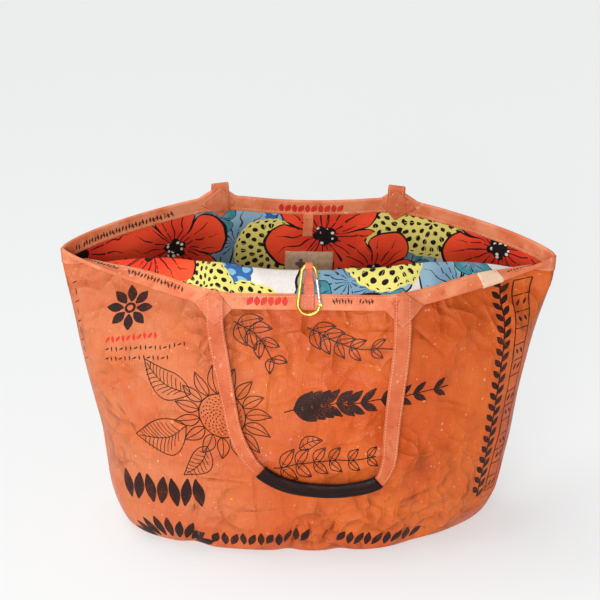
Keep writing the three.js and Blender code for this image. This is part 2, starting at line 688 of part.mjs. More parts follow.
// Hanging loop of tape under the back binding, at the middle
function backTab() {
  const column = 3 * quarterSteps;
  const centre = -liningInner + seatGap + tapeThick / 2;
  const fold = 1.3;
  const top = tapeReach + 0.8;
  const path = [[top, centre], [top + 9, centre], [top + 18, centre], [top + tabLong - fold, centre],
    [top + tabLong - 0.3 * fold, centre + 0.3 * fold], [top + tabLong, centre + fold],
    [top + tabLong - 0.3 * fold, centre + 1.7 * fold], [top + tabLong - fold, centre + 2 * fold],
    [top + 18, centre + 2 * fold], [top + 9, centre + 2 * fold], [top, centre + 2 * fold]];
  const half = tapeThick / 2;
  const sections = path.map(([below, out], i) => {
    const before = path[Math.max(0, i - 1)];
    const after = path[Math.min(path.length - 1, i + 1)];
    const run = new THREE.Vector2(after[0] - before[0], after[1] - before[1]).normalize();
    return [[-1, -1], [1, -1], [1, 1], [-1, 1]].map(([side, face]) => {
      const length = below - face * half * run.y;
      const lift = -(out + face * half * run.x);
      const point = wallPoint(column, rowBelowRim(column, length), lift);
      return point.setX(point.x + side * tabWide / 2);
    });
  });
  return loft(sections);
}

// Sewn cloth label on the back of the lining, behind the ring
function sewnLabel() {
  const middleColumn = 3 * quarterSteps;
  const columnWide = footShare * levels.at(-1).half / centreSteps;
  const shift = 5;
  const top = 72;
  const place = (s, t, lift) => {
    const along = mix(-labelWide / 2, labelWide / 2, s) + shift;
    const column = middleColumn - along / columnWide;
    return wallPoint(column, rowBelowRim(middleColumn, top + t * labelHigh), lift);
  };
  const lifts = [liningInner - seatGap - 0.1, liningInner - seatGap - 1.1];
  return facingOut(wallSheet(place, 6, 4, lifts));
}

function rimColumns(from, to) {
  const columns = [from];
  for (let c = Math.ceil(from + 0.05); c < to - 0.05; c += 1) columns.push(c);
  return [...columns, to];
}

const cloth = (color, roughness) => new THREE.MeshStandardMaterial({ color, roughness, metalness: 0 });
const metal = (color) => new THREE.MeshStandardMaterial({ color, roughness: 0.3, metalness: 1 });

const group = new THREE.Group();
function addPart(name, geometry, material) {
  const mesh = new THREE.Mesh(facingOut(geometry), material);
  mesh.name = name;
  group.add(mesh);
}

const allColumns = Array.from({ length: columnCount }, (_, c) => c);
addPart('sackShell', bagLayer(shellOuter, shellInner), cloth(0xe8743a, 0.45));
addPart('lining', bagLayer(liningOuter, liningInner), cloth(0xd9452f, 0.85));
addPart('rimBinding', rimTape(allColumns, 0, true), cloth(0xe98d5e, 0.5));
const spliceTape = rimTape(rimColumns(25.45, 26.9), seatGap + tapeThick + spliceSlack, false);
addPart('bindingSplice', spliceTape, cloth(0xe6c3a5, 0.6));

const patchNames = ['patchFrontLeft', 'patchFrontRight', 'patchBackRight', 'patchBackLeft'];
patchNames.forEach((name, i) => addPart(name, strapPatch(footColumns[i]), cloth(0xe8976a, 0.5)));

const frontFootLengths = [30, 15, -1.6];
const footLengths = [30, 15, 0];
const frontStations = handleStations(frontHandleRows, strapFoot(footColumns[0], frontFootLengths),
  strapFoot(footColumns[1], frontFootLengths));
const backStations = handleStations(backHandleRows,
  [...strapFoot(footColumns[3], footLengths), ...backTurn(footColumns[3])],
  [...strapFoot(footColumns[2], footLengths), ...backTurn(footColumns[2])]);

[['Front', frontStations, 3], ['Back', backStations, 4]].forEach(([name, stations, perStation]) => {
  const frames = strapFrames(stations, (stations.length - 1) * perStation);
  const at = (label) => stations.findIndex((station) => station.name === label);
  addPart(`handle${name}`, ribbon(frames, strapThick), cloth(0xe58a58, 0.5));
  addPart(`grip${name}`, gripSleeve(frames, at('gripStart'), at('gripEnd')), cloth(0x3a2a26, 0.55));
});

addPart('closureStrap', closureStrap(), cloth(0xe5734f, 0.5));
addPart('clipRing', clipRing(), metal(0xd9a441));
addPart('clipGate', clipGate(), metal(0xc9ccd0));
addPart('backTab', backTab(), cloth(0xe07048, 0.5));
addPart('sewnLabel', sewnLabel(), cloth(0xb59a78, 0.8));

// The middle of the whole box stands over the origin
const middle = new THREE.Box3().setFromObject(group).getCenter(new THREE.Vector3());
group.children.forEach((mesh) => mesh.geometry.translate(-middle.x, -middle.y, 0));

export default group;
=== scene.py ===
# Feed sack tote bag: woven orange sacking, printed lining, taped rim, two hanging straps and a snap ring
import math

import bpy
import numpy as np
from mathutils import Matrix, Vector, noise


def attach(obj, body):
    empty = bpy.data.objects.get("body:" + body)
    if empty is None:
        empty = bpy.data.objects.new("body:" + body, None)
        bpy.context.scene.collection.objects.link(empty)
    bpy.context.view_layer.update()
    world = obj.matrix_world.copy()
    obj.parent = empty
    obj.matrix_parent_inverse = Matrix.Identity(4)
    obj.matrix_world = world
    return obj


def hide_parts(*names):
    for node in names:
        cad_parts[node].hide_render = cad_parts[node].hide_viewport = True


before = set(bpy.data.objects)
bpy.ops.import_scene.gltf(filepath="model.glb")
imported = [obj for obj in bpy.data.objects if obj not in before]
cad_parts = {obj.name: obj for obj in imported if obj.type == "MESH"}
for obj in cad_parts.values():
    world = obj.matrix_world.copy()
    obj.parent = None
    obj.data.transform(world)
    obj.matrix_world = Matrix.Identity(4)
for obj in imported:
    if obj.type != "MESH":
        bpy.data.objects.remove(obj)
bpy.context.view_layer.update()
print("frame loaded:", len(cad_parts), "nodes")

mm = 0.001


def addObject(name, data):
    obj = bpy.data.objects.new(name, data)
    bpy.context.scene.collection.objects.link(obj)
    return obj


# ---------- camera ----------

cameraSet = {"aim": (-0.00997, -0.0010, 0.2808), "distance": 2.4, "elevation": 24.0, "lens": 124.05}


def placeCamera(s):
    data = bpy.data.cameras.new("camera")
    data.lens = s["lens"]
    data.sensor_width = 36.0
    data.clip_end = 60
    cam = addObject("camera", data)
    tilt = math.radians(s["elevation"])
    ax, ay, az = s["aim"]
    cam.location = (ax, ay - s["distance"] * math.cos(tilt), az + s["distance"] * math.sin(tilt))
    cam.rotation_euler = (math.pi / 2 - tilt, 0, 0)
    bpy.context.scene.camera = cam


placeCamera(cameraSet)


# ---------- mesh helpers ----------

def makeMesh(name, points, faces, uv=None, smooth=True):
    mesh = bpy.data.meshes.new(name)
    mesh.from_pydata([tuple(p) for p in np.asarray(points).tolist()], [], faces)
    mesh.validate(clean_customdata=False)
    if smooth:
        mesh.shade_smooth()
    if uv is not None:
        layer = mesh.uv_layers.new(name="cloth")
        layer.data.foreach_set("uv", np.asarray(uv, np.float32).ravel())
    return addObject(name, mesh)


def finishPiece(obj, material, body, slotName, replaced=()):
    obj.data.materials.clear()
    obj.data.materials.append(material)
    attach(obj, body)
    if replaced:
        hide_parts(*replaced)


def gridQuads(rows, columns, base=0, closed=False, flip=False):
    # quads of a rows x columns block of points, columns first
    r = np.arange(rows - 1)[:, None]
    c = np.arange(columns if closed else columns - 1)[None, :]
    n = (c + 1) % columns
    quads = np.stack([r * columns + c, r * columns + n, (r + 1) * columns + n, (r + 1) * columns + c], -1)
    quads = quads.reshape(-1, 4) + base
    return (quads[:, ::-1] if flip else quads).tolist()


def centripetal(points, count):
    # smooth run through points, with the share along it
    pts = np.asarray(points, float)
    ext = np.vstack([2 * pts[0] - pts[1], pts, 2 * pts[-1] - pts[-2]])
    out, place = [], np.linspace(0, len(pts) - 1, count)
    for t in place:
        i = min(int(t), len(pts) - 2)
        p0, p1, p2, p3 = ext[i:i + 4]
        k = [0.0]
        for a, b in ((p0, p1), (p1, p2), (p2, p3)):
            k.append(k[-1] + max(1e-6, np.linalg.norm(b - a)) ** 0.5)
        u = k[1] + (t - i) * (k[2] - k[1])

        def between(i, j, a, b):
            return (k[j] - u) / (k[j] - k[i]) * a + (u - k[i]) / (k[j] - k[i]) * b
        a1, a2, a3 = between(0, 1, p0, p1), between(1, 2, p1, p2), between(2, 3, p2, p3)
        out.append(between(1, 2, between(0, 2, a1, a2), between(1, 3, a2, a3)))
    return np.array(out), place


def unit(v):
    v = np.asarray(v, float)
    return v / np.maximum(np.linalg.norm(v, axis=-1, keepdims=True), 1e-12)


# ---------- wall of the bag ----------

bag = {
    "offset": (-0.968, -0.999),       # the solids' middle stands over the origin
    "quarter": 15, "side": 9, "footShare": 0.368, "power": 2.4, "cornerTilt": 4.5, "floorLift": 1.4,
    "frontEar": 20.8, "backEar": 13.0, "earWide": 1.0, "perColumn": 5,
    "rowsPerLevel": [5, 6, 9, 13, 12, 12, 12, 12, 11, 12, 14, 5, 5, 5, 15],
    "heelLift": {"reach": 70.0, "from": 70.0, "to": 215.0, "back": 12.0, "up": 9.0},
    "shell": (0.3, 1.1), "lining": (-0.5, -1.1), "billow": 2.2, "crumple": 1.0,
}
# half width, shift, side z, front y, front z, back y, back z, pinch front, pinch back, bow, sag front, back
levelTable = {
    "baseEdge": (203, -4, 0, 93, 0, 92, 0, 0, 0, 1, 0, 0),
    "underHeel": (213, -4.5, 5, 101, 6, 100, 6, 0, 0, 1, 0, 0),
    "heel": (220, -4.5, 17, 106, 18, 106, 18, 0, 0, 1, 0, 0),
    "lowWall": (229, -4.5, 42, 110, 44, 111, 44, 0.05, 0.05, 1, 0, 0),
    "belly": (236, -3, 85, 113, 84, 115, 86, 0.1, 0.1, 1, 0, 0),
    "waist": (242, -1.5, 125, 113, 124, 117, 130, 0.15, 0.15, 1, 0, 0),
    "ribs": (249, -3, 164, 110, 166, 118, 172, 0.2, 0.2, 1, 0, 0),
    "chest": (257, -3.5, 204, 105, 206, 117, 214, 0.3, 0.3, 1, 0, 0),
    "upper": (265, -3, 243, 97, 244, 115, 254, 0.45, 0.4, 1, 0, 0),
    "shoulder": (272, -1, 274, 86, 277, 112, 288, 0.7, 0.5, 1.2, 1, 0),
    "underFold": (276, 0, 291, 74, 306, 109.5, 314, 1, 0.55, 1.4, 3, 0),
    "foldIn": (278, 0.5, 299, 57, 337, 107.5, 328, 1.3, 0.6, 1.8, 5, 1),
    "foldBack": (279, 1, 303, 57.5, 344.5, 107, 333, 1.35, 0.62, 1.9, 6, 2),
    "foldTop": (280, 1, 307.5, 62.8, 348.6, 106.5, 338, 1.4, 0.63, 1.9, 6, 3),
    "foldOut": (281, 1, 313, 71, 345.5, 106, 343, 1.4, 0.64, 1.7, 5, 4),
    "rim": (283, 1, 339, 87, 307, 102, 370, 0.8, 0.65, 1, 0, 8),
}
# main folds: face, x, z, reach across, reach up, depth inwards, slant
foldTable = [
    (-1, -134, 6, 15, 26, 8, -0.2), (-1, -20, 10, 13, 30, 6, 0.25), (-1, 34, 12, 14, 34, 6, -0.3),
    (-1, 128, 18, 20, 30, 5, 0.3), (-1, -108, 108, 44, 10, 3.5, 0), (-1, -98, 245, 15, 60, -4, 0),
    (-1, 104, 250, 16, 50, -3.5, 0), (-1, 4, 262, 62, 34, 6, 0), (-1, 176, 205, 34, 70, 5, 0.25),
    (-1, -178, 190, 34, 70, 4, -0.2), (1, -70, 10, 16, 32, 6, -0.2), (1, 52, 12, 15, 30, 6, 0.25),
    (1, 12, 225, 70, 60, 5, 0), (1, -110, 260, 18, 60, -4, 0), (1, 110, 260, 18, 60, -4, 0),
]
# soft creases: face, start x and z, end x and z, width, depth (a ridge where negative)
creaseTable = [
    (-1, -152, 106, -62, 103, 4.5, 1.5), (-1, -117, 94, -133, 50, 5, 1.8), (-1, -139, 52, -133, 8, 5, 3.0),
    (-1, -125, 79, -139, 48, 5, -1.2), (-1, -12, 52, -24, 6, 5, 2.6), (-1, -2, 56, 6, 4, 5, 2.2),
    (-1, 34, 56, 12, 8, 5, 2.8), (-1, 22, 60, 40, 12, 6, -1.6), (-1, -40, 44, -34, 6, 6, -1.6),
    (-1, 70, 34, 58, 4, 5, 1.6), (-1, -80, 30, -74, 4, 5, 1.5), (-1, 120, 60, 168, 20, 7, 1.6),
    (-1, 60, 78, 150, 52, 8, 1.2), (-1, -96, 292, -128, 236, 6, 1.8), (-1, -82, 288, -40, 262, 6, 1.6),
    (-1, -30, 276, 40, 284, 5, 1.2), (-1, 40, 284, 84, 296, 5, -1.4), (-1, 96, 292, 64, 252, 6, 1.5),
    (-1, 112, 290, 150, 250, 7, 1.6), (-1, -150, 262, -232, 282, 8, 1.4), (-1, -212, 150, -150, 176, 8, 1.1),
    (-1, -20, 214, 26, 236, 6, 0.9), (-1, 120, 208, 196, 168, 9, 1.1), (-1, 150, 296, 214, 318, 7, 1.2),
    (-1, 8, 246, 4, 206, 6, 0.8), (-1, -232, 224, -196, 120, 8, 1.3), (-1, 214, 244, 190, 120, 8, 1.2),
    (-1, 262, 366, 226, 180, 2.6, -0.9), (-1, 226, 184, 216, 60, 2.6, -0.9),
    (1, -60, 40, -72, 5, 5, 2.4), (1, 44, 44, 56, 5, 5, 2.4), (1, 0, 38, 6, 4, 6, 1.8),
    (1, -150, 120, -40, 150, 9, 1.3), (1, 60, 180, 160, 120, 9, 1.3), (1, -40, 300, 60, 270, 9, 1.2),
    (1, 130, 330, 200, 250, 9, 1.3), (1, -130, 330, -200, 240, 9, 1.3),
]


def mix(a, b, t):
    return a + (b - a) * t


def earShape(columns, wide):
    # how far the rim is drawn out at each column, as a share of the ear's height, front then back
    q = bag["quarter"]
    feet = [(bag["side"], "frontEar"), (2 * q - bag["side"], "frontEar"),
            (2 * q + bag["side"], "backEar"), (4 * q - bag["side"], "backEar")]
    total = np.zeros_like(columns)
    for foot, name in feet:
        away = np.sqrt(((columns - foot) / wide) ** 2 + 0.004)
        total += bag[name] * np.clip(1.063 - away, 0, 1)
    return total


def levelRing(level, columns):
    half, shift, sideZ, fy, fz, by, bz, pinchF, pinchB, bow, sagF, sagB = levelTable[level]
    q, side, foot = bag["quarter"], bag["side"], bag["footShare"]
    front = columns <= 2 * q
    fromLeft = np.where(front, columns, 4 * q - columns)
    step = np.minimum(fromLeft, 2 * q - fromLeft)
    sign = np.where(fromLeft < q, -1.0, 1.0)
    pinch = np.where(front, pinchF, pinchB)
    wide = np.minimum(1, pinch)
    roundShare = np.cos(np.arccos(foot) * step / side)
    share = mix(roundShare, 1 - (1 - foot) * step / side, wide)
    share = np.where(step > side, foot * (q - step) / (q - side), share)
    eased = 1 - (side + 2 - step) ** 2 / (8 * side)
    middle = np.where(step < side - 2, step / side, np.where(step > side + 2, 1, eased))
    oval = np.maximum(0, 1 - share ** bag["power"]) ** (1 / bag["power"])
    rise = 1 - (1 - middle) ** np.where(front, bow, 1)
    droop = np.maximum(0, 1 - (share / foot) ** 2)
    z = mix(sideZ, np.where(front, fz, bz), rise) - np.where(front, sagF, sagB) * droop
    z = z - bag["cornerTilt"] * sign * share * z / levelTable["rim"][2]
    x = shift + sign * half * share
    outline = np.maximum(0, mix(oval, middle, pinch))
    depth = np.where(front, fy, by) * outline
    rampWeight = np.minimum(1, step / 3)
    face = np.where(front, -1, 1)
    for side_, fx, fzz, across, tall, deep, slant in foldTable:
        a = (x - fx - slant * (z - fzz)) / across
        b = (z - fzz) / tall
        depth = depth - np.where(face == side_, rampWeight * deep * np.exp(-a * a - b * b), 0)
    return np.stack([x, face * depth, z + bag["floorLift"]], -1)


def liftedHeel(grid, s):
    # the right heel stands a little off the floor and is drawn in
    x, y, z = grid[..., 0], grid[..., 1], grid[..., 2]
    low = np.clip(1 - z / s["reach"], 0, 1) ** 1.5
    right = np.clip((x - s["from"]) / (s["to"] - s["from"]), 0, 1)
    right = right * right * (3 - 2 * right)
    front = np.clip(0.5 - y / 120, 0, 1)
    moved = grid.copy()
    moved[..., 1] += s["back"] * low * right * front
    moved[..., 2] += s["up"] * low * right
    return moved


def wallSurface():
    # dense middle surface: rows up each column, joined smoothly through the levels
    count = 4 * bag["quarter"] * bag["perColumn"]
    columns = np.arange(count) / bag["perColumn"]
    rings = np.stack([levelRing(name, columns) for name in levelTable])
    rings[0, :, 2] = bag["floorLift"]
    up = unit(rings[-1] - rings[-2])
    rings[-1] += up * earShape(columns, bag["earWide"])[:, None]
    h = np.maximum(np.linalg.norm(np.diff(rings, axis=0), axis=-1, keepdims=True), 1e-6)
    slope = np.diff(rings, axis=0) / h
    tangent = np.concatenate([slope[:1], (slope[1:] * h[:-1] + slope[:-1] * h[1:]) / (h[1:] + h[:-1]), slope[-1:]])
    rows = [rings[:1]]
    for i, n in enumerate(bag["rowsPerLevel"]):
        t = (np.arange(1, n + 1) / n)[:, None, None]
        rows.append((2 * t ** 3 - 3 * t ** 2 + 1) * rings[i] + (t ** 3 - 2 * t ** 2 + t) * h[i] * tangent[i]
                    + (3 * t ** 2 - 2 * t ** 3) * rings[i + 1] + (t ** 3 - t ** 2) * h[i] * tangent[i + 1])
    grid = np.concatenate(rows)
    grid[..., 2] = np.maximum(grid[..., 2], bag["floorLift"])
    grid = liftedHeel(grid, bag["heelLift"])
    return grid + np.array([*bag["offset"], 0])


def gridNormals(grid):
    along = np.roll(grid, -1, 1) - np.roll(grid, 1, 1)
    up = np.gradient(grid, axis=0)
    return unit(np.cross(along, up))


def segmentDistance(x, z, x1, z1, x2, z2):
    run = np.array([x2 - x1, z2 - z1])
    t = np.clip(((x - x1) * run[0] + (z - z1) * run[1]) / (run @ run), 0, 1)
    taper = np.sin(math.pi * np.clip(t * 0.86 + 0.07, 0, 1))
    return np.hypot(x - x1 - t * run[0], z - z1 - t * run[1]), taper


def wrinkles(grid):
    # lift of the cloth at each point, in millimetres
    x, y, z = grid[..., 0], grid[..., 1], grid[..., 2]
    face = np.where(y < 0, -1, 1)
    rows, columns = x.shape
    lift = np.zeros_like(x)
    for f, x1, z1, x2, z2, wide, deep in creaseTable:
        d, taper = segmentDistance(x, z, x1, z1, x2, z2)
        edge = np.exp(-((d - 1.9 * wide) / (1.3 * wide)) ** 2) * 0.3
        lift += np.where(face == f, taper * deep * (edge - np.exp(-(d / wide) ** 2)), 0)
    flat = grid.reshape(-1, 3)
    billow = np.array([noise.noise(Vector(p) / 95 + Vector((3, 8, 1))) for p in flat.tolist()])
    fine = np.array([abs(noise.noise(Vector(p) / 34)) + 0.6 * abs(noise.noise(Vector(p) / 17 + Vector((9, 2, 4))))
                     for p in flat.tolist()])
    lift += bag["billow"] * billow.reshape(rows, columns)
    lift += bag["crumple"] * (0.32 - fine.reshape(rows, columns))
    arc = np.concatenate([np.zeros((1, columns)), np.cumsum(np.linalg.norm(np.diff(grid, axis=0), axis=-1), 0)])
    toRim = arc[-1] - arc
    rampWeight = np.clip(arc / 22, 0, 1) * np.clip((toRim - 12) / 40, 0.12, 1)
    corner = np.abs((np.arange(columns) / bag["perColumn"] + 15) % 30 - 15)
    return lift * rampWeight * np.clip(corner / 1.5, 0.15, 1)


wall = wallSurface()
wall = wall + gridNormals(wall) * wrinkles(wall)[..., None]
wall[..., 2] = np.maximum(wall[..., 2], bag["floorLift"])
wallOut = gridNormals(wall)
rowCount, columnCount = wall.shape[:2]
wallArc = np.concatenate([np.zeros((1, columnCount)), np.cumsum(np.linalg.norm(np.diff(wall, axis=0), axis=-1), 0)])
print("wall:", rowCount, "rows,", columnCount, "columns, height of cloth", round(float(wallArc[-1].mean())), "mm")


def layerPoints(lift):
    # the whole wall moved out by a lift, with the base edge turned under
    out = wallOut.copy()
    base = out[0].copy()
    base[:, 2] = 0
    out[0] = unit(base) * 0.6 + np.array([0, 0, -1.0])
    for r, share in ((1, 0.7), (2, 0.35)):
        out[r] = unit(out[r] + np.array([0, 0, -share * 0.6]))
    lifts = np.asarray(lift)[..., None] if np.ndim(lift) else lift
    return wall + out * lifts


def basePoints(ring, segments, puff):
    # strips across the base from each front column to the back column behind it
    half = columnCount // 2
    k = np.arange(1, half)
    a, b = ring[k], ring[(columnCount - k) % columnCount]
    t = (np.arange(1, segments) / segments)[None, :, None]
    inner = mix(a[:, None], b[:, None], t)
    for i in range(inner.shape[0]):
        for j in range(inner.shape[1]):
            p = inner[i, j]
            edge = min(1, 4 * (j + 1) / segments, 4 * (segments - 1 - j) / segments, i / 8, (half - 2 - i) / 8)
            p[2] += puff * max(0, edge) * (0.5 + noise.noise(Vector(p.tolist()) / 40))
    return inner


def bagSheet(name, outerLift, innerLift, segments=12, puff=1.2):
    # closed thin sheet: outer wall and base, inner wall and base, joined along the rim
    points, faces, uvs = [], [], []
    n, half = columnCount, columnCount // 2
    span = np.linalg.norm(np.roll(wall[70], -1, 0) - wall[70], axis=-1)
    around = np.concatenate([[0], np.cumsum(span)]) * mm
    for side, lift in enumerate((outerLift, innerLift)):
        grid = layerPoints(lift)
        start = len(points)
        points += list(grid.reshape(-1, 3))
        quads = gridQuads(rowCount, n, start, True, side == 1)
        faces += quads
        for r in range(rowCount - 1):
            for c in range(n):
                low, high = [(around[c], around[c + 1]), (wallArc[r] * mm, wallArc[r + 1] * mm)]
                d = (c + 1) % n
                loop = [(low[0], high[0][c]), (low[1], high[0][d]), (low[1], high[1][d]), (low[0], high[1][c])]
                uvs += loop[::-1] if side else loop
        base = basePoints(grid[0], segments, puff)
        first = len(points)
        points += list(base.reshape(-1, 3))

        def at(k, j):
            if j == 0:
                return start + k
            if j == segments:
                return start + (n - k) % n
            return first + (k - 1) * (segments - 1) + j - 1
        for k in range(half):
            for j in range(segments):
                loop = [at(k, j), at(k, j + 1), at(k + 1, j + 1), at(k + 1, j)]
                if k == 0:
                    loop = [at(0, 0), at(1, j + 1), at(1, j)]
                if k == half - 1:
                    loop = [at(k, j), at(k, j + 1), start + half]
                faces.append(loop[::-1] if side else loop)
                uvs += [(points[i][0] * mm + 0.3, points[i][1] * mm - 0.1) for i in faces[-1]]
    shift = rowCount * n + (half - 1) * (segments - 1)
    top = (rowCount - 1) * n
    for c in range(n):
        d = (c + 1) % n
        faces.append([top + c, top + d, shift + top + d, shift + top + c])
        uvs += [(around[c], 0.5), (around[c + 1], 0.5), (around[c + 1], 0.501), (around[c], 0.501)]
    return makeMesh(name, np.array(points) * mm, faces, uvs)


shell = bagSheet("sackCloth", bag["shell"][1], bag["shell"][0])
liningWaves = np.zeros_like(wallArc)
for r in range(rowCount):
    for c in range(0, columnCount):
        p = wall[r, c] / 46
        liningWaves[r, c] = max(0, noise.noise(Vector((p[0] + 20, p[1], p[2])))) * 2.6
liningWaves *= np.clip((wallArc[-1] - wallArc - 14) / 30, 0, 1) * np.clip(wallArc / 30, 0, 1)
lining = bagSheet("liningCloth", bag["lining"][0] - liningWaves, bag["lining"][1] - liningWaves, puff=0.8)
print("sack and lining sheets made")


# ---------- places on the cloth ----------

def clothAt(column, height, lift):
    # points at fractional dense columns and lengths of cloth above the base edge
    column = np.atleast_1d(column).astype(float) % columnCount
    height, lift = np.broadcast_to(height, column.shape), np.broadcast_to(lift, column.shape)
    out = np.zeros((len(column), 3))
    index = np.arange(rowCount)
    for i, (c, h) in enumerate(zip(column, height)):
        c0 = int(c)
        share = c - c0
        total = np.zeros(3)
        for col, weight in ((c0 % columnCount, 1 - share), ((c0 + 1) % columnCount, share)):
            r = float(np.interp(h, wallArc[:, col], index))
            r0 = min(int(r), rowCount - 2)
            extra = h - wallArc[-1, col]
            point = mix(wall[r0, col], wall[r0 + 1, col], r - r0)
            normal = unit(mix(wallOut[r0, col], wallOut[r0 + 1, col], r - r0))
            if extra > 0:
                point = point + unit(wall[-1, col] - wall[-2, col]) * extra
            total += weight * (point + normal * lift[i])
        out[i] = total
    return out


def rimHeight(column):
    # length of cloth from the base edge to the rim at fractional dense columns
    return np.interp(column % columnCount, np.arange(columnCount + 1), np.append(wallArc[-1], wallArc[-1, 0]))


def belowRim(column, length, lift):
    # points at fractional columns of the solids, at a length of cloth below the rim
    dense = np.atleast_1d(column) * bag["perColumn"]
    return clothAt(dense, rimHeight(dense) - length, lift)


feet = [9, 21, 39, 51]
stackUp = {"strap": -3.3, "patch": -4.3}
threadRuns = {"binding": [], "patch": [], "strap": [], "label": []}


def gridUv(us, vs, flip=False):
    # corner coordinates in the order of gridQuads
    u, v = np.asarray(us, float), np.asarray(vs, float)
    a, b = np.broadcast_arrays(u[None, :], v[:, None])
    p = np.stack([a, b], -1)
    quads = np.stack([p[:-1, :-1], p[:-1, 1:], p[1:, 1:], p[1:, :-1]], 2).reshape(-1, 4, 2)
    return (quads[:, ::-1] if flip else quads).reshape(-1, 2)


def signedVolume(points, faces):
    p = np.asarray(points)
    total = 0.0
    for f in faces:
        for i in range(1, len(f) - 1):
            total += float(np.dot(p[f[0]], np.cross(p[f[i]], p[f[i + 1]])))
    return total


def loftMesh(name, sections, closed=False):
    # skin through equal sections, in millimetres, with capped ends or joined end to end
    s = np.asarray(sections, float)
    if closed:
        s = np.concatenate([s, s[:1]])
    rows, sides = s.shape[:2]
    around = np.append(0, np.cumsum(np.linalg.norm(np.roll(s[rows // 2], -1, 0) - s[rows // 2], axis=-1)))
    along = np.append(0, np.cumsum(np.linalg.norm(np.diff(s.mean(1), axis=0), axis=-1)))
    uv = gridUv(around * mm, along * mm)
    faces = gridQuads(rows, sides, 0, True)
    points = s.reshape(-1, 3)
    if closed:
        last = (rows - 1) * sides
        faces = [[i % last for i in f] for f in faces]
        points = points[:last]
    else:
        caps = []
        for row, order in ((0, -1), (rows - 1, 1)):
            points = np.vstack([points, s[row].mean(0)])
            ring = row * sides + np.arange(sides)
            for k in range(sides):
                tri = [int(ring[k]), int(ring[(k + 1) % sides]), len(points) - 1]
                caps.append(tri[::order])
                uv = np.vstack([uv, [[0.002, 0.002], [0.003, 0.002], [0.003, 0.003]]])
        faces = faces + caps
    if signedVolume(points, faces) < 0:
        faces = [f[::-1] for f in faces]
        counts = [len(f) for f in faces]
        parts = np.split(uv, np.cumsum(counts)[:-1])
        uv = np.vstack([p[::-1] for p in parts])
    return makeMesh(name, points * mm, faces, uv)


def panelLayers(us, ts, place):
    # outer and inner grid of points, each from place(u, t, 1 for the outer side or 0)
    return [np.array([[place(u, t, outerSide) for u in us] for t in ts]) for outerSide in (1, 0)]


def closedPanel(name, layers, us, vs):
    # thin closed sheet from an outer and an inner grid of points, joined round its border
    m, n = layers[0].shape[:2]
    ring = [(0, i) for i in range(n - 1)] + [(j, n - 1) for j in range(m - 1)]
    ring += [(m - 1, i) for i in range(n - 1, 0, -1)] + [(j, 0) for j in range(m - 1, 0, -1)]
    points = np.vstack([layer.reshape(-1, 3) for layer in layers])
    faces = gridQuads(m, n) + gridQuads(m, n, n * m, flip=True)
    uv = list(gridUv(us, vs)) + list(gridUv(us, vs, flip=True))
    for (ra, ca), (rb, cb) in zip(ring, ring[1:] + ring[:1]):
        a, b = ra * n + ca, rb * n + cb
        faces.append([b, a, a + n * m, b + n * m])
        uv += [(0, 0)] * 4
    if signedVolume(points, faces) < 0:
        faces = [f[::-1] for f in faces]
        uv = list(np.array(uv).reshape(-1, 4, 2)[:, ::-1].reshape(-1, 2))
    return makeMesh(name, points * mm, faces, uv)


def flatSection(wide, thick, sides=24, acrossPower=0.3, outPower=0.55):
    # rounded oblong section, squarer for smaller powers
    a = (np.arange(sides) + 0.5) * 2 * math.pi / sides
    across = np.sign(np.cos(a)) * np.abs(np.cos(a)) ** acrossPower * wide / 2
    out = np.sign(np.sin(a)) * np.abs(np.sin(a)) ** outPower * thick / 2
    return across, out


# ---------- rim tape ----------

tape = {"reach": 17.0, "thick": 0.8, "outside": 1.3, "inside": -1.3, "over": 0.5, "stitchAt": 13.8, "pucker": 0.35,
        "wave": 0.35, "turn": 0.55}


def tapeRun(columns, extra, free, puckered=True):
    # folded tape as a U at each dense column: outer skin up, over and down, then inner skin back
    s, sections = tape, []
    for c in columns:
        q = c / bag["perColumn"]
        reach = free + earShape(np.array([q % 60]), bag["earWide"])[0]
        down = np.append([0, 0.7, 1.8, 3.2, 4.6], np.linspace(6.5, reach - 0.6, 5))
        wave = noise.noise(Vector((q * 1.7, extra, 3))) * s["wave"]
        top = float(rimHeight(c))
        rim = clothAt(c, top, 0)[0]
        up = unit(rim - clothAt(c, top - 6, 0)[0])
        out = unit(clothAt(c, top - 1, 1)[0] - clothAt(c, top - 1, 0)[0])

        def skin(lift, sign):
            lifts = []
            for d in down:
                dip = -s["pucker"] * math.exp(-((d - (free - s["stitchAt"])) / 0.9) ** 2) if puckered else 0
                lifts.append(lift + sign * (extra + dip + wave * math.sin(math.pi * min(1, d / reach))))
            return clothAt(np.full(len(down), c), np.array([top - (reach - d) for d in down]), np.array(lifts))

        def turned(half, count, drop):
            arc = []
            for k in range(1, count):
                a = math.pi * k / count
                arc.append(rim + out * half * math.cos(a)
                           + up * (s["over"] + extra * 0.6 + (wide * s["turn"]) * math.sin(a) - drop))
            return arc
        wide = s["outside"] + s["thick"] + extra
        sections.append(np.vstack([
            skin(s["outside"] + s["thick"], 1), turned(wide, 8, 0.0), skin(s["inside"] - s["thick"], -1)[::-1],
            skin(s["inside"], -1), turned(s["outside"] + extra, 6, s["thick"])[::-1], skin(s["outside"], 1)[::-1]]))
    return np.array(sections)


binding = loftMesh("rimBinding", tapeRun(np.arange(0, columnCount, 1.0), 0.0, tape["reach"]), closed=True)
splice = loftMesh("tapeSplice", tapeRun(np.linspace(126.2, 132.2, 14), 1.0, 16.6, False))
print("rim tape made")


# ---------- strap feet, patches and handles ----------

def footFrames(column, lengths):
    rows = []
    for length in lengths:
        p = belowRim(column, length, stackUp["strap"])[0]
        n = unit(belowRim(column, max(0.0, length), -1)[0] - belowRim(column, max(0.0, length), 0)[0])
        rows.append((p, n, 20.0))
    return rows


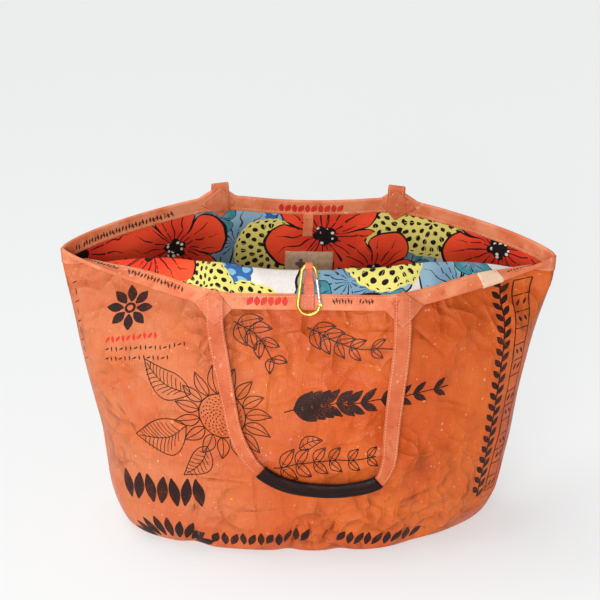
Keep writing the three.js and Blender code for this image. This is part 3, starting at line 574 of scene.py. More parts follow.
def backTurn(column):
    tip = belowRim(column, 0, 0)[0]
    up = unit(tip - belowRim(column, 8, 0)[0])
    inward = unit(belowRim(column, 1, -1)[0] - belowRim(column, 1, 0)[0])
    outside, inside = 3.2, stackUp["strap"]
    middle, radius = (outside + inside) / 2, (outside - inside) / 2
    rows = []
    for angle in (60, 90, 120, 180):
        t = math.radians(angle)
        across, above = middle - radius * math.cos(t), 1.9 + radius * math.sin(t)
        rows.append((tip - inward * across + up * above, inward * math.cos(t) + up * math.sin(t), 20.0))
    return rows


# x, y, z, tip and turn of the shown face, width
handleTable = {
    "Front": [
        (-100, -99.4, 262, 8, -8, 20), (-95, -107, 235, 6, -14, 19), (-89, -113, 202, 3, -24, 18),
        (-82, -118, 168, 0, -20, 18), (-71, -120, 142, 0, -10, 17), (-54, -121, 120.5, 0, 0, 13),
        (-27, -122, 104, 0, 0, 13), (10, -122, 96.5, 0, 0, 13), (46, -122, 97, 0, 0, 13),
        (81, -121, 107.5, 0, 0, 13), (91, -120, 127, 0, 8, 17), (94, -118, 160, 0, 12, 19),
        (98, -112, 202, 3, 10, 20), (102, -106, 236, 6, 8, 20), (105, -99.4, 260, 8, 6, 20)],
    "Back": [
        (-105, 112, 354, 180, 4, 20), (-104, 119, 310, 180, 6, 20), (-100, 122, 265, 180, 12, 20),
        (-88, 123, 225, 180, 10, 18), (-73, 123, 202, 180, 4, 16), (-54, 124, 186, 180, 0, 13),
        (-27, 124, 173, 180, 0, 13), (2, 124, 168, 180, 0, 13), (31, 124, 172, 180, 0, 13),
        (58, 124, 185, 180, 0, 13), (76, 123, 201, 180, -4, 16), (90, 123, 226, 180, -10, 18),
        (100, 122, 266, 180, -10, 20), (104, 119, 310, 180, -5, 20), (105, 112, 354, 180, -4, 20)],
}


def faceWay(tip, turn):
    lean, swing = math.radians(tip), math.radians(turn)
    return np.array([math.sin(swing), -math.cos(lean) * math.cos(swing), math.sin(lean) * math.cos(swing)])


def strapStations(name):
    middle = [(np.array([x + bag["offset"][0], y + bag["offset"][1], z]), faceWay(tip, turn), float(w))
              for x, y, z, tip, turn, w in handleTable[name]]
    if name == "Front":
        left, right = footFrames(feet[0], (30, 15, -1.6)), footFrames(feet[1], (30, 15, -1.6))
    else:
        left = footFrames(feet[3], (30, 15, 0)) + backTurn(feet[3])
        right = footFrames(feet[2], (30, 15, 0)) + backTurn(feet[2])
    return left + middle + right[::-1], len(left)


def strapFrames(stations, count):
    run, place = centripetal([s[0] for s in stations], count)
    tangent = unit(np.gradient(run, axis=0))
    knots = np.arange(len(stations))
    faces = np.array([unit(s[1]) for s in stations])
    face = unit(np.stack([np.interp(place, knots, faces[:, k]) for k in range(3)], -1))
    side = unit(np.cross(tangent, face))
    wide = np.interp(place, knots, [s[2] for s in stations])
    return run, side, np.cross(side, tangent), wide, place


strapSet = {"thick": 1.5, "stitchInset": 2.2, "count": 300, "wobble": 0.35}
gripSet = {"high": 17.2, "deep": 8.0, "holeWide": 14.2, "holeDeep": 3.0, "sides": 36, "count": 130}


def makeHandle(name):
    stations, first = strapStations(name)
    run, side, face, wide, place = strapFrames(stations, strapSet["count"])
    sections = []
    for i in range(len(run)):
        across, out = flatSection(wide[i], strapSet["thick"])
        wob = strapSet["wobble"] * noise.noise(Vector(run[i].tolist()) / 22) * min(1, abs(wide[i] - 13) / 5)
        cup = 0.5 * (np.abs(across) / (wide[i] / 2)) ** 2 * noise.noise(Vector(run[i].tolist()) / 40)
        sections.append(run[i] + side[i] * across[:, None] + face[i] * (out + wob + cup)[:, None])
    strap = loftMesh("strap" + name, sections)
    for inset in (-1, 1):
        edge = [run[i] + side[i] * inset * (wide[i] / 2 - strapSet["stitchInset"])
                + face[i] * (strapSet["thick"] / 2 + 0.1) for i in range(len(run))
                if not first + 4.8 < place[i] < first + 9.2]
        split = next(k for k in range(1, len(edge)) if np.linalg.norm(edge[k] - edge[k - 1]) > 12)
        threadRuns["strap"] += [edge[:split], edge[split:]]
    start, end = first + 5, first + 9
    g = gripSet
    fine = strapFrames(stations, 1400)
    keep = (fine[4] >= start) & (fine[4] <= end)
    pick = np.linspace(0, keep.sum() - 1, g["count"]).astype(int)
    run, side, face, place = [np.asarray(v)[keep][pick] for v in (fine[0], fine[1], fine[2], fine[4])]
    outer, inner = [], []
    share = np.linspace(0, 1, g["count"])
    for i in range(g["count"]):
        lip = math.exp(-(min(share[i], 1 - share[i]) / 0.006) ** 2)
        dent = noise.noise(Vector((share[i] * 5, 1, len(name))))
        high = g["high"] * (1 - 0.09 * lip + 0.03 * dent)
        deep = g["deep"] * (1 - 0.16 * lip + 0.1 * noise.noise(Vector((share[i] * 7, 6, len(name)))))
        across, out = flatSection(high, deep, g["sides"], 0.8, 0.85)
        groove = -0.55 * np.exp(-((across / high + 0.06 * dent) / 0.09) ** 2) * (out > 0)
        outer.append(run[i] + side[i] * across[:, None] + face[i] * (out + groove)[:, None])
        across, out = flatSection(g["holeWide"], g["holeDeep"], g["sides"], 0.4, 0.5)
        inner.append(run[i] + side[i] * across[:, None] + face[i] * out[:, None])
    return strap, loftMesh("grip" + name, outer + inner[::-1], closed=True)


handles = {name: makeHandle(name) for name in handleTable}
print("handles and grips made")


# the solids' front and back ears are 2.2 and 2.0 mm taller than the ears here
tipDrop = 2.2


def patchPlace(column, along, fromTip):
    # column and length below the local rim of a place measured from the tip of the solids' ear
    step = np.linalg.norm(belowRim(column + 1, 12, 0)[0] - belowRim(column - 1, 12, 0)[0]) / 2
    c = column + along / step
    ear = bag["frontEar"] if column < 30 else bag["backEar"]
    here = earShape(np.array([c]), bag["earWide"])[0]
    return c, fromTip - (ear - here) - tipDrop


def makePatch(name, column, half=21.0, cells=26):
    s = np.linspace(0, 1, cells + 1)

    def place(u, t, outerSide):
        along, below = (u - t) * half, (2 - u - t) * half
        c, length = patchPlace(column, along, below)
        edge = min(u, 1 - u, t, 1 - t)
        over = 1 / (1 + math.exp((abs(along) - 10.8) / 0.9)) * (1 / (1 + math.exp((below - 33) / 1.2)))
        lift = mix(-2.35, stackUp["patch"], over) - 0.75 * outerSide
        lift += 0.3 * math.exp(-((edge - 0.11) / 0.035) ** 2) + 0.25 * outerSide * math.exp(-(edge / 0.03) ** 2)
        lift -= 0.25 * noise.noise(Vector((along / 6, below / 6, column)))
        return belowRim(c, length, lift)[0]
    layers = panelLayers(s, s, place)

    def line(start, end, count=24):
        # points over the outer grid between two places given as shares of its sides
        out, g = [], layers[0]
        for w in [k / count for k in range(count + 1)]:
            r, c = [min(mix(start[k], end[k], w) * cells, cells - 1e-6) for k in (1, 0)]
            i, j, a, b = int(r), int(c), r % 1, c % 1
            out.append(g[i][j] * (1 - a) * (1 - b) + g[i][j + 1] * (1 - a) * b
                       + g[i + 1][j] * a * (1 - b) + g[i + 1][j + 1] * a * b)
        return out
    a, b, c, d = (0.1, 0.1), (0.9, 0.1), (0.9, 0.9), (0.1, 0.9)
    threadRuns["patch"] += [line(*ends) for ends in ((a, b), (b, c), (c, d), (d, a), (a, c), (d, b))]
    along = s * half * 1.414 * mm
    return closedPanel(name, layers, along, along)


patchNames = ["FrontLeft", "FrontRight", "BackRight", "BackLeft"]
patches = [makePatch("patch" + n, feet[i]) for i, n in enumerate(patchNames)]
print("patches made")


# ---------- ring, gate and closing strap ----------

clip = {"lowUp": 6.4, "lowRadius": 12.2, "highUp": 42.0, "highRadius": 7.8, "lift": 6.6, "wire": 2.1,
        "gateWire": 1.9, "gateLong": 27.0, "gap": 0.5, "endAngle": 0.29}
clipRim = belowRim(15, 0, 0)[0]
clipUp = unit(belowRim(15, tape["reach"], 0)[0] - clipRim)
clipAcross = np.array([1.0, 0, 0])
clipOut = unit(np.cross(clipUp, clipAcross))
clipOut = clipOut if clipOut[1] < 0 else -clipOut


def clipPoint(x, up, out):
    return clipRim + clipAcross * x + clipUp * up + clipOut * out


clipSlope = math.asin((clip["lowRadius"] - clip["highRadius"]) / (clip["highUp"] - clip["lowUp"]))


def onArc(which, angle):
    up, radius = clip[which + "Up"], clip[which + "Radius"]
    return np.array([radius * math.cos(angle), up + radius * math.sin(angle)])


hingeSpot = onArc("low", clipSlope)
gateRun = np.array([-math.sin(clipSlope), math.cos(clipSlope)])
gateSide = np.array([gateRun[1], -gateRun[0]])


def gateSpot(along, across):
    return hingeSpot + gateRun * along + gateSide * across


def wireSections(places, radius, sides=20, tipRound=1.0):
    # round wire in the plane of the ring, with its two ends rounded over
    places = np.array(places)
    run = unit(np.gradient(places, axis=0))
    sections = []
    a = np.arange(sides) * 2 * math.pi / sides
    for i, (p, t) in enumerate(zip(places, run)):
        x = p[0] + radius * np.cos(a) * t[1]
        up = p[1] - radius * np.cos(a) * t[0]
        sections.append(np.array([clipPoint(x[k], up[k], clip["lift"] + radius * math.sin(a[k]))
                                  for k in range(sides)]))
    for end, order in ((0, 1), (-1, -1)):
        centre, ring = sections[end].mean(0), sections[end]
        back = unit(sections[end + order].mean(0) - centre)
        caps = [centre + (ring - centre) * math.cos(k) + back * tipRound * (1 - math.sin(k))
                for k in (1.45, 1.1, 0.7, 0.35)]
        sections = caps + sections[1:] if end == 0 else sections[:-1] + caps[::-1]
    return sections


def blockSections(outline, low, high):
    return [[clipPoint(x, up, clip["lift"] + out) for x, up in outline] for out in (low, high)]


def joinPieces(name, objects):
    with bpy.context.temp_override(active_object=objects[0], selected_editable_objects=objects):
        bpy.ops.object.join()
    objects[0].name = name
    return objects[0]


def makeRing():
    nose = hingeSpot + gateRun * (clip["gateLong"] + clip["gap"])
    places = [nose] + [onArc("high", t) for t in np.linspace(clipSlope, math.pi - clipSlope, 30)]
    lowEnd = 2 * math.pi + clipSlope - clip["endAngle"]
    places += [onArc("low", t) for t in np.linspace(math.pi - clipSlope, lowEnd, 48)]
    straight = [mix(places[30], places[31], t) for t in np.linspace(0, 1, 10)[1:-1]]
    places = places[:31] + straight + places[31:]
    wire = loftMesh("ringWire", wireSections(places, clip["wire"], 24))
    edge = [gateSpot(*p) for p in ((-4.2, 1.5), (0.9, 1.5), (1.7, 0.7), (1.7, -0.7), (0.9, -1.5), (-4.2, -1.5))]
    tongue = loftMesh("ringTongue", blockSections(edge, -0.75, 0.75))
    circle = [hingeSpot + 0.8 * np.array([math.cos(t), math.sin(t)]) for t in np.linspace(0, 2 * math.pi, 17)[:-1]]
    pin = loftMesh("ringPin", blockSections(circle, -2.05, 2.05))
    tongue.data.shade_flat()
    return joinPieces("ring", [wire, tongue, pin])


def makeGate():
    places = [hingeSpot + gateRun * t for t in np.linspace(2.8, clip["gateLong"], 16)]
    rod = loftMesh("gateRod", wireSections(places, clip["gateWire"], 24, 0.7))
    edge = [gateSpot(*p) for p in ((5, 1.5), (-0.6, 1.6), (-1.6, 0.7), (-1.6, -0.7), (-0.6, -1.6), (5, -1.5))]
    cheeks = [loftMesh("gateCheek", blockSections(edge, s * 1.0, s * 1.9)) for s in (-1, 1)]
    return joinPieces("gate", [rod] + cheeks)


ring, gate = makeRing(), makeGate()


def makeClosingStrap():
    thick = 1.0
    onTape, onLining = 3.3, 2.0
    doubled = onLining + thick + 0.3
    wireUp, lift = clip["highUp"] + clip["highRadius"], clip["lift"]
    wrap = clip["wire"] + 0.35 + thick / 2
    inset, slim, wide = wireUp - 1.6, 8.2, 12.0
    path = [
        (1.2, onTape, wide), (6, onTape, wide), (12, onTape, wide), (18.5, onTape - 0.2, wide),
        (24, onLining + 0.2, wide), (33, onLining, 11), (40, onLining + 0.1, slim), (44.5, onLining + 0.7, slim),
        (inset, lift - wrap, slim),
        (wireUp, lift - wrap, slim), (wireUp + 0.7 * wrap, lift - 0.7 * wrap, slim), (wireUp + wrap, lift, slim),
        (wireUp + 0.7 * wrap, lift + 0.7 * wrap, slim), (wireUp, lift + wrap, slim), (inset, lift + wrap, slim),
        (inset - 0.75 * wrap, lift + 0.66 * wrap, slim), (inset - wrap, lift, slim),
        (inset - 1.15 * wrap, lift - 0.8 * wrap, slim), (41, doubled + 0.4, slim), (37, doubled, slim),
        (27, doubled + 0.3, wide - 1)]
    run = centripetal(path, 150)[0]
    direction = unit(np.gradient(run[:, :2], axis=0))
    sections = []
    for (up, out, w), (du, do) in zip(run, direction):
        across, lifts = flatSection(w, thick, 20)
        sections.append([clipPoint(a, up - b * do, out + b * du) for a, b in zip(across, lifts)])
    for x in (-4.4, 4.4):
        threadRuns["strap"].append([clipPoint(x, up, 3.95) for up in np.linspace(2.5, 15.5, 12)])
    for up in (2.5, 15.5):
        threadRuns["strap"].append([clipPoint(x, up, 3.95) for x in np.linspace(-4.4, 4.4, 8)])
    return loftMesh("closingStrap", sections)


closingStrap = makeClosingStrap()


# ---------- tab and label on the back lining ----------

def makeTab():
    thick, fold, top, long = 1.0, 1.3, tape["reach"] + 0.8, 28.0
    centre = 1.9
    end = top + long
    path = [(top - 3, centre), (top + 9, centre), (top + 18, centre), (end - fold, centre),
            (end - 0.3 * fold, centre + 0.3 * fold), (end, centre + fold), (end - 0.3 * fold, centre + 1.7 * fold),
            (end - fold, centre + 2 * fold), (top + 18, centre + 2 * fold), (top + 9, centre + 2 * fold),
            (top + 0.2, centre + 2 * fold)]
    run = centripetal([(a, b, 0) for a, b in path], 60)[0]
    direction = unit(np.gradient(run[:, :2], axis=0))
    sections = []
    for (below, out, _), (db, do) in zip(run, direction):
        across, lifts = flatSection(12.0, thick, 16)
        rows = []
        for a, b in zip(across, lifts):
            p = belowRim(45, below - b * do, -(out + b * db))[0]
            rows.append(p + np.array([a, 0, 0]))
        sections.append(rows)
    return loftMesh("backTab", sections)


labelSet = {"wide": 60.0, "high": 32.0, "shift": 3.0, "top": 67.5}


def makeLabel(wide, high, shift, top):
    columnWide = bag["footShare"] * levelTable["rim"][0] / 6
    us, ts = np.linspace(0, 1, 41), np.linspace(0, 1, 23)

    def place(u, t, outerSide):
        along = mix(-wide / 2, wide / 2, u) + shift
        edge = min(u * wide, (1 - u) * wide, t * high, (1 - t) * high)
        lift = -2.0 - 0.7 * outerSide - 0.9 * min(1, edge / 8) * (0.6 + noise.noise(Vector((u * 3, t * 2, 5))))
        lift += 0.35 * math.exp(-((edge - 1.8) / 0.8) ** 2)
        return belowRim(45 - along / columnWide, top + t * high, lift)[0]
    layers = panelLayers(us, ts, place)
    g, n, m = layers[0], len(us), len(ts)
    inset = [(2, c) for c in range(2, n - 2)], [(r, n - 3) for r in range(2, m - 2)]
    inset += [(m - 3, c) for c in range(n - 3, 1, -1)], [(r, 2) for r in range(m - 3, 1, -1)]
    threadRuns["label"] += [[g[r][c] for r, c in side] for side in inset]
    return closedPanel("label", layers, us * wide * mm, ts * high * mm)


backTab = makeTab()
label = makeLabel(**labelSet)
print("ring, closing strap, tab and label made")


# ---------- stitches ----------

def stitchGroup():
    # polylines to short round stitches, all of one material
    tree = bpy.data.node_groups.new("stitches", "GeometryNodeTree")
    for name, kind, way in (("Geometry", "Geometry", "INPUT"), ("Spacing", "Float", "INPUT"),
                            ("Stitch Length", "Float", "INPUT"), ("Thread Radius", "Float", "INPUT"),
                            ("Seed", "Int", "INPUT"), ("Thread", "Material", "INPUT"),
                            ("Geometry", "Geometry", "OUTPUT")):
        tree.interface.new_socket(name=name, in_out=way, socket_type="NodeSocket" + kind)
    kinds = {"source": "NodeGroupInput", "result": "NodeGroupOutput", "curve": "GeometryNodeMeshToCurve",
             "points": "GeometryNodeCurveToPoints", "ball": "GeometryNodeMeshUVSphere",
             "place": "GeometryNodeInstanceOnPoints", "real": "GeometryNodeRealizeInstances",
             "paint": "GeometryNodeSetMaterial", "size": "ShaderNodeCombineXYZ", "half": "ShaderNodeMath",
             "shade": "GeometryNodeSetShadeSmooth", "turn": "FunctionNodeRotateRotation",
             "random": "FunctionNodeRandomValue", "euler": "FunctionNodeEulerToRotation"}
    node = {key: tree.nodes.new(kind) for key, kind in kinds.items()}
    node["points"].mode = "LENGTH"
    node["random"].data_type = "FLOAT_VECTOR"
    node["half"].operation = "MULTIPLY"
    for key, socket, value in (("random", "Min", (-0.12, -0.12, 0)), ("random", "Max", (0.12, 0.12, 0)),
                               ("half", 1, 0.5), ("ball", "Segments", 8), ("ball", "Rings", 6),
                               ("ball", "Radius", 1.0)):
        node[key].inputs[socket].default_value = value
    for start, out, end, into in (
            ("source", "Geometry", "curve", "Mesh"), ("curve", "Curve", "points", "Curve"),
            ("source", "Spacing", "points", "Length"), ("points", "Points", "place", "Points"),
            ("points", "Rotation", "turn", "Rotation"), ("source", "Seed", "random", "Seed"),
            ("random", "Value", "euler", 0), ("euler", 0, "turn", "Rotate By"),
            ("turn", "Rotation", "place", "Rotation"),
            ("ball", "Mesh", "place", "Instance"), ("source", "Stitch Length", "half", 0),
            ("source", "Thread Radius", "size", 0), ("source", "Thread Radius", "size", 1), ("half", 0, "size", 2),
            ("size", 0, "place", "Scale"), ("place", "Instances", "real", "Geometry"),
            ("real", "Geometry", "shade", "Geometry"), ("shade", "Geometry", "paint", "Geometry"),
            ("source", "Thread", "paint", "Material"), ("paint", "Geometry", "result", "Geometry")):
        tree.links.new(node[start].outputs[out], node[end].inputs[into])
    return tree


stitchTree = stitchGroup()


def makeStitches(name, runs, material, spacing, long, radius, seed):
    points, edges = [], []
    for run in runs:
        start = len(points)
        points += [tuple(np.asarray(p) * mm) for p in run]
        edges += [(i, i + 1) for i in range(start, len(points) - 1)]
    mesh = bpy.data.meshes.new(name + "Line")
    mesh.from_pydata(points, edges, [])
    obj = addObject(name, mesh)
    mod = obj.modifiers.new("stitches", "NODES")
    mod.node_group = stitchTree
    ids = {s.name: s.identifier for s in stitchTree.interface.items_tree if s.in_out == "INPUT"}
    for key, value in (("Spacing", spacing), ("Stitch Length", long), ("Thread Radius", radius), ("Seed", seed),
                       ("Thread", material)):
        mod[ids[key]] = value
    bpy.context.view_layer.update()
    made = bpy.data.meshes.new_from_object(obj.evaluated_get(bpy.context.evaluated_depsgraph_get()))
    obj.modifiers.clear()
    obj.data = made
    made.name = name
    bpy.data.meshes.remove(mesh)
    return obj


# ---------- printed designs ----------

inkRuns = {"dark": [], "red": [], "tapeDark": [], "tapeRed": []}
printSet = {"sackLift": (1.18, 1.3), "tapeLift": (-2.13, -2.26), "line": 1.15, "columnWide": 17.8}


frontSpan = np.linalg.norm(np.diff(wall[70, :columnCount // 2 + 1], axis=0), axis=-1)
acrossFront = np.concatenate([[0], np.cumsum(frontSpan)])
acrossFront = acrossFront - acrossFront[columnCount // 4]


def onSack(points, lift):
    # points are millimetres across the front from its middle, and up the cloth from the base edge
    return clothAt(np.interp(points[:, 0], acrossFront, np.arange(len(acrossFront))), points[:, 1], lift)


def onTape(points, lift):
    # columns of the bag and millimetres below the rim, on the lining side
    return np.vstack([belowRim(c, d, lift) for c, d in points])


def inkStroke(kind, points, widths):
    points = np.asarray(points, float)
    widths = np.broadcast_to(widths, len(points))
    wide = printSet["columnWide"] if kind.startswith("tape") else 1.0
    run = unit(np.gradient(points * (wide, 1), axis=0))
    side = np.stack([-run[:, 1] / wide, run[:, 0]], -1) * widths[:, None] / 2
    place, lifts = (onTape, printSet["tapeLift"]) if kind.startswith("tape") else (onSack, printSet["sackLift"])
    low, high = lifts
    spread = np.linspace(1, -1, 2 + int(widths.max() / 3))
    corners = [place(points + side * k, low) for k in spread] + [place(points + side * k, high) for k in spread[::-1]]
    inkRuns[kind].append(np.stack(corners, 1))


def curveThrough(points, count):
    return centripetal([(x, z, 0) for x, z in points], count)[0][:, :2]


def leafFilled(kind, x, z, long, wide, angle, unitWide=1.0):
    t = np.linspace(0, 1, 9)
    a = math.radians(angle)
    line = np.stack([x + long * (t - 0.5) * math.cos(a) / unitWide, z + long * (t - 0.5) * math.sin(a)], -1)
    inkStroke(kind, line, wide * np.sin(math.pi * np.clip(t, 0.03, 0.97)) ** 0.8)


def leafDrawn(kind, x, z, long, wide, angle, veins=4, bend=0.12, line=None):
    # outline from the stalk at x and z, a mid vein and side veins
    line = line or printSet["line"]
    a = math.radians(angle)
    axis, side = np.array([math.cos(a), math.sin(a)]), np.array([-math.sin(a), math.cos(a)])
    t = np.linspace(0, 1, 15)[:, None]
    middle = np.array([x, z]) + axis * long * t + side * bend * long * np.sin(math.pi * t)
    for sign in (-1, 1):
        inkStroke(kind, middle + sign * side * wide / 2 * np.sin(math.pi * t ** 0.8), line)
        for k in range(veins):
            s = 0.16 + 0.66 * k / max(1, veins - 1)
            root = np.array([x, z]) + axis * long * s + side * bend * long * math.sin(math.pi * s)
            out = wide / 2 * math.sin(math.pi * s ** 0.8) * 0.8
            tip = root + axis * out * 0.6 + sign * side * out
            inkStroke(kind, curveThrough([root, (root + tip) / 2 + axis * 0.08 * out, tip], 5), line * 0.7)
    inkStroke(kind, middle[:-1], line * 0.85)


def sunFlower(kind, x, z, heart, reach, petals, seeds):
    for k in range(petals):
        a = 360 * k / petals
        start = np.array([x, z]) + heart * np.array([math.cos(math.radians(a)), math.sin(math.radians(a))])
        leafDrawn(kind, *start, reach * (0.92 + 0.1 * math.sin(5 * k)), reach * 0.42, a, 0, 0.05)
    for k in range(seeds):
        r, a = heart * 0.9 * math.sqrt((k + 0.5) / seeds), k * 2.39996
        leafFilled(kind, x + r * math.cos(a), z + r * math.sin(a), 2.7, 1.3, math.degrees(a) + 60)
    ring = [(x + heart * math.cos(t), z + heart * math.sin(t)) for t in np.linspace(0, 2 * math.pi, 40)]
    inkStroke(kind, ring, printSet["line"] * 1.2)


def branch(kind, path, count, long, wide, filled, spread=38):
    line = curveThrough(path, 40)
    inkStroke(kind, line, 1.3)
    run = unit(np.gradient(line, axis=0))
    for k in range(count):
        i = int(3 + (36 - 3) * k / max(1, count - 1))
        heading = math.degrees(math.atan2(run[i][1], run[i][0]))
        size = 1 - 0.45 * k / count
        for sign in (-1, 1):
            a = heading + sign * spread
            if filled:
                reach = long * size / 2
                leafFilled(kind, line[i][0] + reach * math.cos(math.radians(a)),
                           line[i][1] + reach * math.sin(math.radians(a)), long * size, wide * size, a)
            else:
                leafDrawn(kind, *line[i], long * size, wide * size, a, 2, 0.06 * sign)


def printFront():
    # bold rosette high on the left, with red and dark rows under it
    for k in range(8):
        a = math.radians(45 * k + 10)
        leafFilled("dark", -217 + 17 * math.cos(a), 303 + 17 * math.sin(a), 19, 11, 45 * k + 10)
    ring = [(-217 + 5 * math.cos(t), 303 + 5 * math.sin(t)) for t in np.linspace(0, 2 * math.pi, 16)]
    inkStroke("dark", ring, 3.0)
    for k in range(10):
        leafFilled("red", -235 + 6.4 * k, 262 + 1.6 * k, 8, 3.6, 105 if k % 2 else 60)
    for first, last, count in (((-235, 251), (-138, 270), 17), ((-235, 240), (-158, 254), 14)):
        for k in range(count):
            t = k / (count - 1)
            leafFilled("dark", mix(first[0], last[0], t), mix(first[1], last[1], t), 6.0, 1.7, 100 if k % 3 else 30)
    # large drawn flower with leaves, left
    sunFlower("dark", -96, 190, 27, 33, 15, 110)
    leafDrawn("dark", -140, 172, 70, 44, 196, 10)
    leafDrawn("dark", -131, 212, 66, 36, 148, 9)
    leafDrawn("dark", -118, 150, 52, 26, 232, 7)
    # sprigs behind the strap and the ring
    branch("dark", [(-78, 300), (-56, 286), (-34, 254)], 4, 28, 14, False)
    branch("dark", [(0, 292), (40, 272), (106, 268)], 6, 25, 12, False)
    # dark branch, centre right
    branch("dark", [(-24, 196), (50, 206), (166, 216)], 11, 30, 12, True, 36)
    # small sprig under it
    branch("dark", [(-40, 128), (20, 134), (84, 140)], 6, 27, 14, False, 46)
    leafDrawn("dark", -8, 150, 30, 15, 20, 4)
    # bold row and a fan of leaves, low on the left
    for k in range(7):
        leafFilled("dark", -226 + 15.6 * k, 84 + 0.4 * k, 37, 14.5, 82 if k % 2 else 100)
    for k in range(9):
        a = math.radians(158 - 17 * k)
        leafFilled("dark", -178 + 46 * math.cos(a), 2 + 31 * math.sin(a), 29, 11.5, 158 - 17 * k)
    # vine of bold leaves and a ladder frame, right
    stem = curveThrough([(240, 318), (231, 190), (222, 62)], 40)
    inkStroke("dark", stem, 1.6)
    for k in range(40):
        turn = 52 if k % 2 else 128
        x, z = stem[k]
        leafFilled("dark", x + (4.6 if k % 2 else -4.6), z + 3.5, 13.0, 6.4, turn)
    rails = [curveThrough([(x + o, z) for x, z in ((262, 322), (256, 190), (243, 64))], 43) for o in (-9, 9)]
    for rail in rails:
        inkStroke("dark", rail, 1.3)
    for k in range(15):
        a, b = rails[0][3 * k], rails[1][3 * k]
        inkStroke("dark", [mix(a, b, t) for t in np.linspace(0, 1, 5)], 1.2)
        if k % 3 and k < 14:
            for o in (0.3, 0.7):
                leafFilled("dark", *(mix(a, b, o) - (0, 8.5)), 8, 3.0, 60 if k % 2 else 120)
    # row of leaves along the base
    for k in range(23):
        x = -118 + 12.0 * k
        if abs(k - 12) > 1:
            leafFilled("dark", x, 26 + 8 * math.exp(-((x - 25) / 60) ** 2), 19, 9.5, 84 if k % 2 else 58)
    # a few dark stitches of the side seam at the left corner
    for k in range(9):
        leafFilled("dark", -284 + 1.3 * k, 318 - 11 * k, 8, 1.2, 100 if k % 2 else 30)


def printTape():
    # small dark leaves along the tape, and larger red ones at the front and back middle
    wide = printSet["columnWide"]
    for first, last, size in ((1.2, 7.6, 5.6), (27.0, 29.0, 4.0), (53.4, 59.4, 6.2), (16.6, 19.4, 5.4),
                              (38.4, 39.7, 5.0)):
        for k in range(int((last - first) / 0.19)):
            c = first + 0.19 * k
            if noise.noise(Vector((c * 1.3, size, 2))) > -0.33:
                kind = 0.5 + 0.5 * noise.noise(Vector((c * 9, 1, size)))
                leafFilled("tapeDark", c, 8.6 + 1.2 * (k % 2), size * (0.8 + 0.7 * kind), 1.8, 50 + 80 * kind,
                           wide)
                if kind > 0.52:
                    leafFilled("tapeDark", c + 0.06, 8.6 + 1.2 * (k % 2), size * 0.5, 1.3, 20, wide)
    for first, last in ((11.0, 13.9), (42.6, 47.2)):
        for k in range(int((last - first) / 0.45)):
            c = first + 0.45 * k + 0.2
            leafFilled("tapeRed", c, 8.4, 11.0, 7.0, 90 if k % 2 else 55, wide)


def inkMesh(name, kind):
    points, faces = [], []
    for run in inkRuns[kind]:
        start, n, sides = len(points), *run.shape[:2]
        points += list(run.reshape(-1, 3))
        quads = gridQuads(n, sides, start, True)
        ends = [[start + k for k in range(sides)], [start + sides * n - 1 - k for k in range(sides)]]
        local = quads + ends
        if signedVolume(run.reshape(-1, 3) - run.reshape(-1, 3).mean(0), [[i - start for i in f] for f in local]) < 0:
            local = [f[::-1] for f in local]
        faces += local
    return makeMesh(name, np.array(points) * mm, faces, None, False)


printFront()
printTape()
prints = {kind: inkMesh("print" + kind[0].upper() + kind[1:], kind) for kind in inkRuns}
print("printed designs made:", sum(len(p.data.vertices) for p in prints.values()), "points")


# ---------- materials ----------

def linear(rgb):
    return tuple((c / 255 / 12.92 if c / 255 < 0.04045 else ((c / 255 + 0.055) / 1.055) ** 2.4) for c in rgb)


class Graph:
    # short calls for building one node tree
    def __init__(self, tree):
        self.tree = tree

    def node(self, kind, settings=None, inputs=None):
        made = self.tree.nodes.new(kind)
        for key, value in (settings or {}).items():
            setattr(made, key, value)
        for key, value in (inputs or {}).items():
            self.feed(made.inputs[key], value)
        return made

    def feed(self, socket, value):
        if isinstance(value, bpy.types.NodeSocket):
            self.tree.links.new(value, socket)
        elif hasattr(value, "__len__") and len(value) == 3 and len(socket.default_value) == 4:
            socket.default_value = (*value, 1)
        else:
            socket.default_value = value

    def math(self, op, *values):
        return self.node("ShaderNodeMath", {"operation": op}, dict(enumerate(values))).outputs[0]

    def add(self, a, b):
        return self.math("ADD", a, b)

    def sub(self, a, b):
        return self.math("SUBTRACT", a, b)

    def mul(self, a, b):
        return self.math("MULTIPLY", a, b)

    def less(self, a, b):
        return self.math("LESS_THAN", a, b)

    def vector(self, op, *values):
        made = self.node("ShaderNodeVectorMath", {"operation": op}, dict(enumerate(values)))
        return made.outputs["Value" if op in ("LENGTH", "DISTANCE", "DOT_PRODUCT") else "Vector"]

    def scale(self, vector, amount):
        return self.node("ShaderNodeVectorMath", {"operation": "SCALE"}, {0: vector, "Scale": amount}).outputs[0]

    def blend(self, factor, a, b, kind="MIX"):
        made = self.node("ShaderNodeMix", {"data_type": "RGBA", "blend_type": kind})
        self.feed(made.inputs[0], factor)
        self.feed(made.inputs[6], a)
        self.feed(made.inputs[7], b)
        return made.outputs[2]

    def noise(self, vector, scale, detail=2.0, rough=0.5, out="Fac"):
        return self.node("ShaderNodeTexNoise", {}, {"Vector": vector, "Scale": scale, "Detail": detail,
                                                    "Roughness": rough}).outputs[out]

    def span(self, value, low, high, toLow=0.0, toHigh=1.0, kind="SMOOTHSTEP"):
        return self.node("ShaderNodeMapRange", {"interpolation_type": kind}, {
            "Value": value, "From Min": low, "From Max": high, "To Min": toLow, "To Max": toHigh}).outputs[0]

    def split(self, vector):
        return self.node("ShaderNodeSeparateXYZ", {}, {0: vector}).outputs

    def join(self, x, y, z=0.0):
        return self.node("ShaderNodeCombineXYZ", {}, {0: x, 1: y, 2: z}).outputs[0]

    def group(self, tree, inputs):
        return self.node("ShaderNodeGroup", {"node_tree": tree}, inputs).outputs


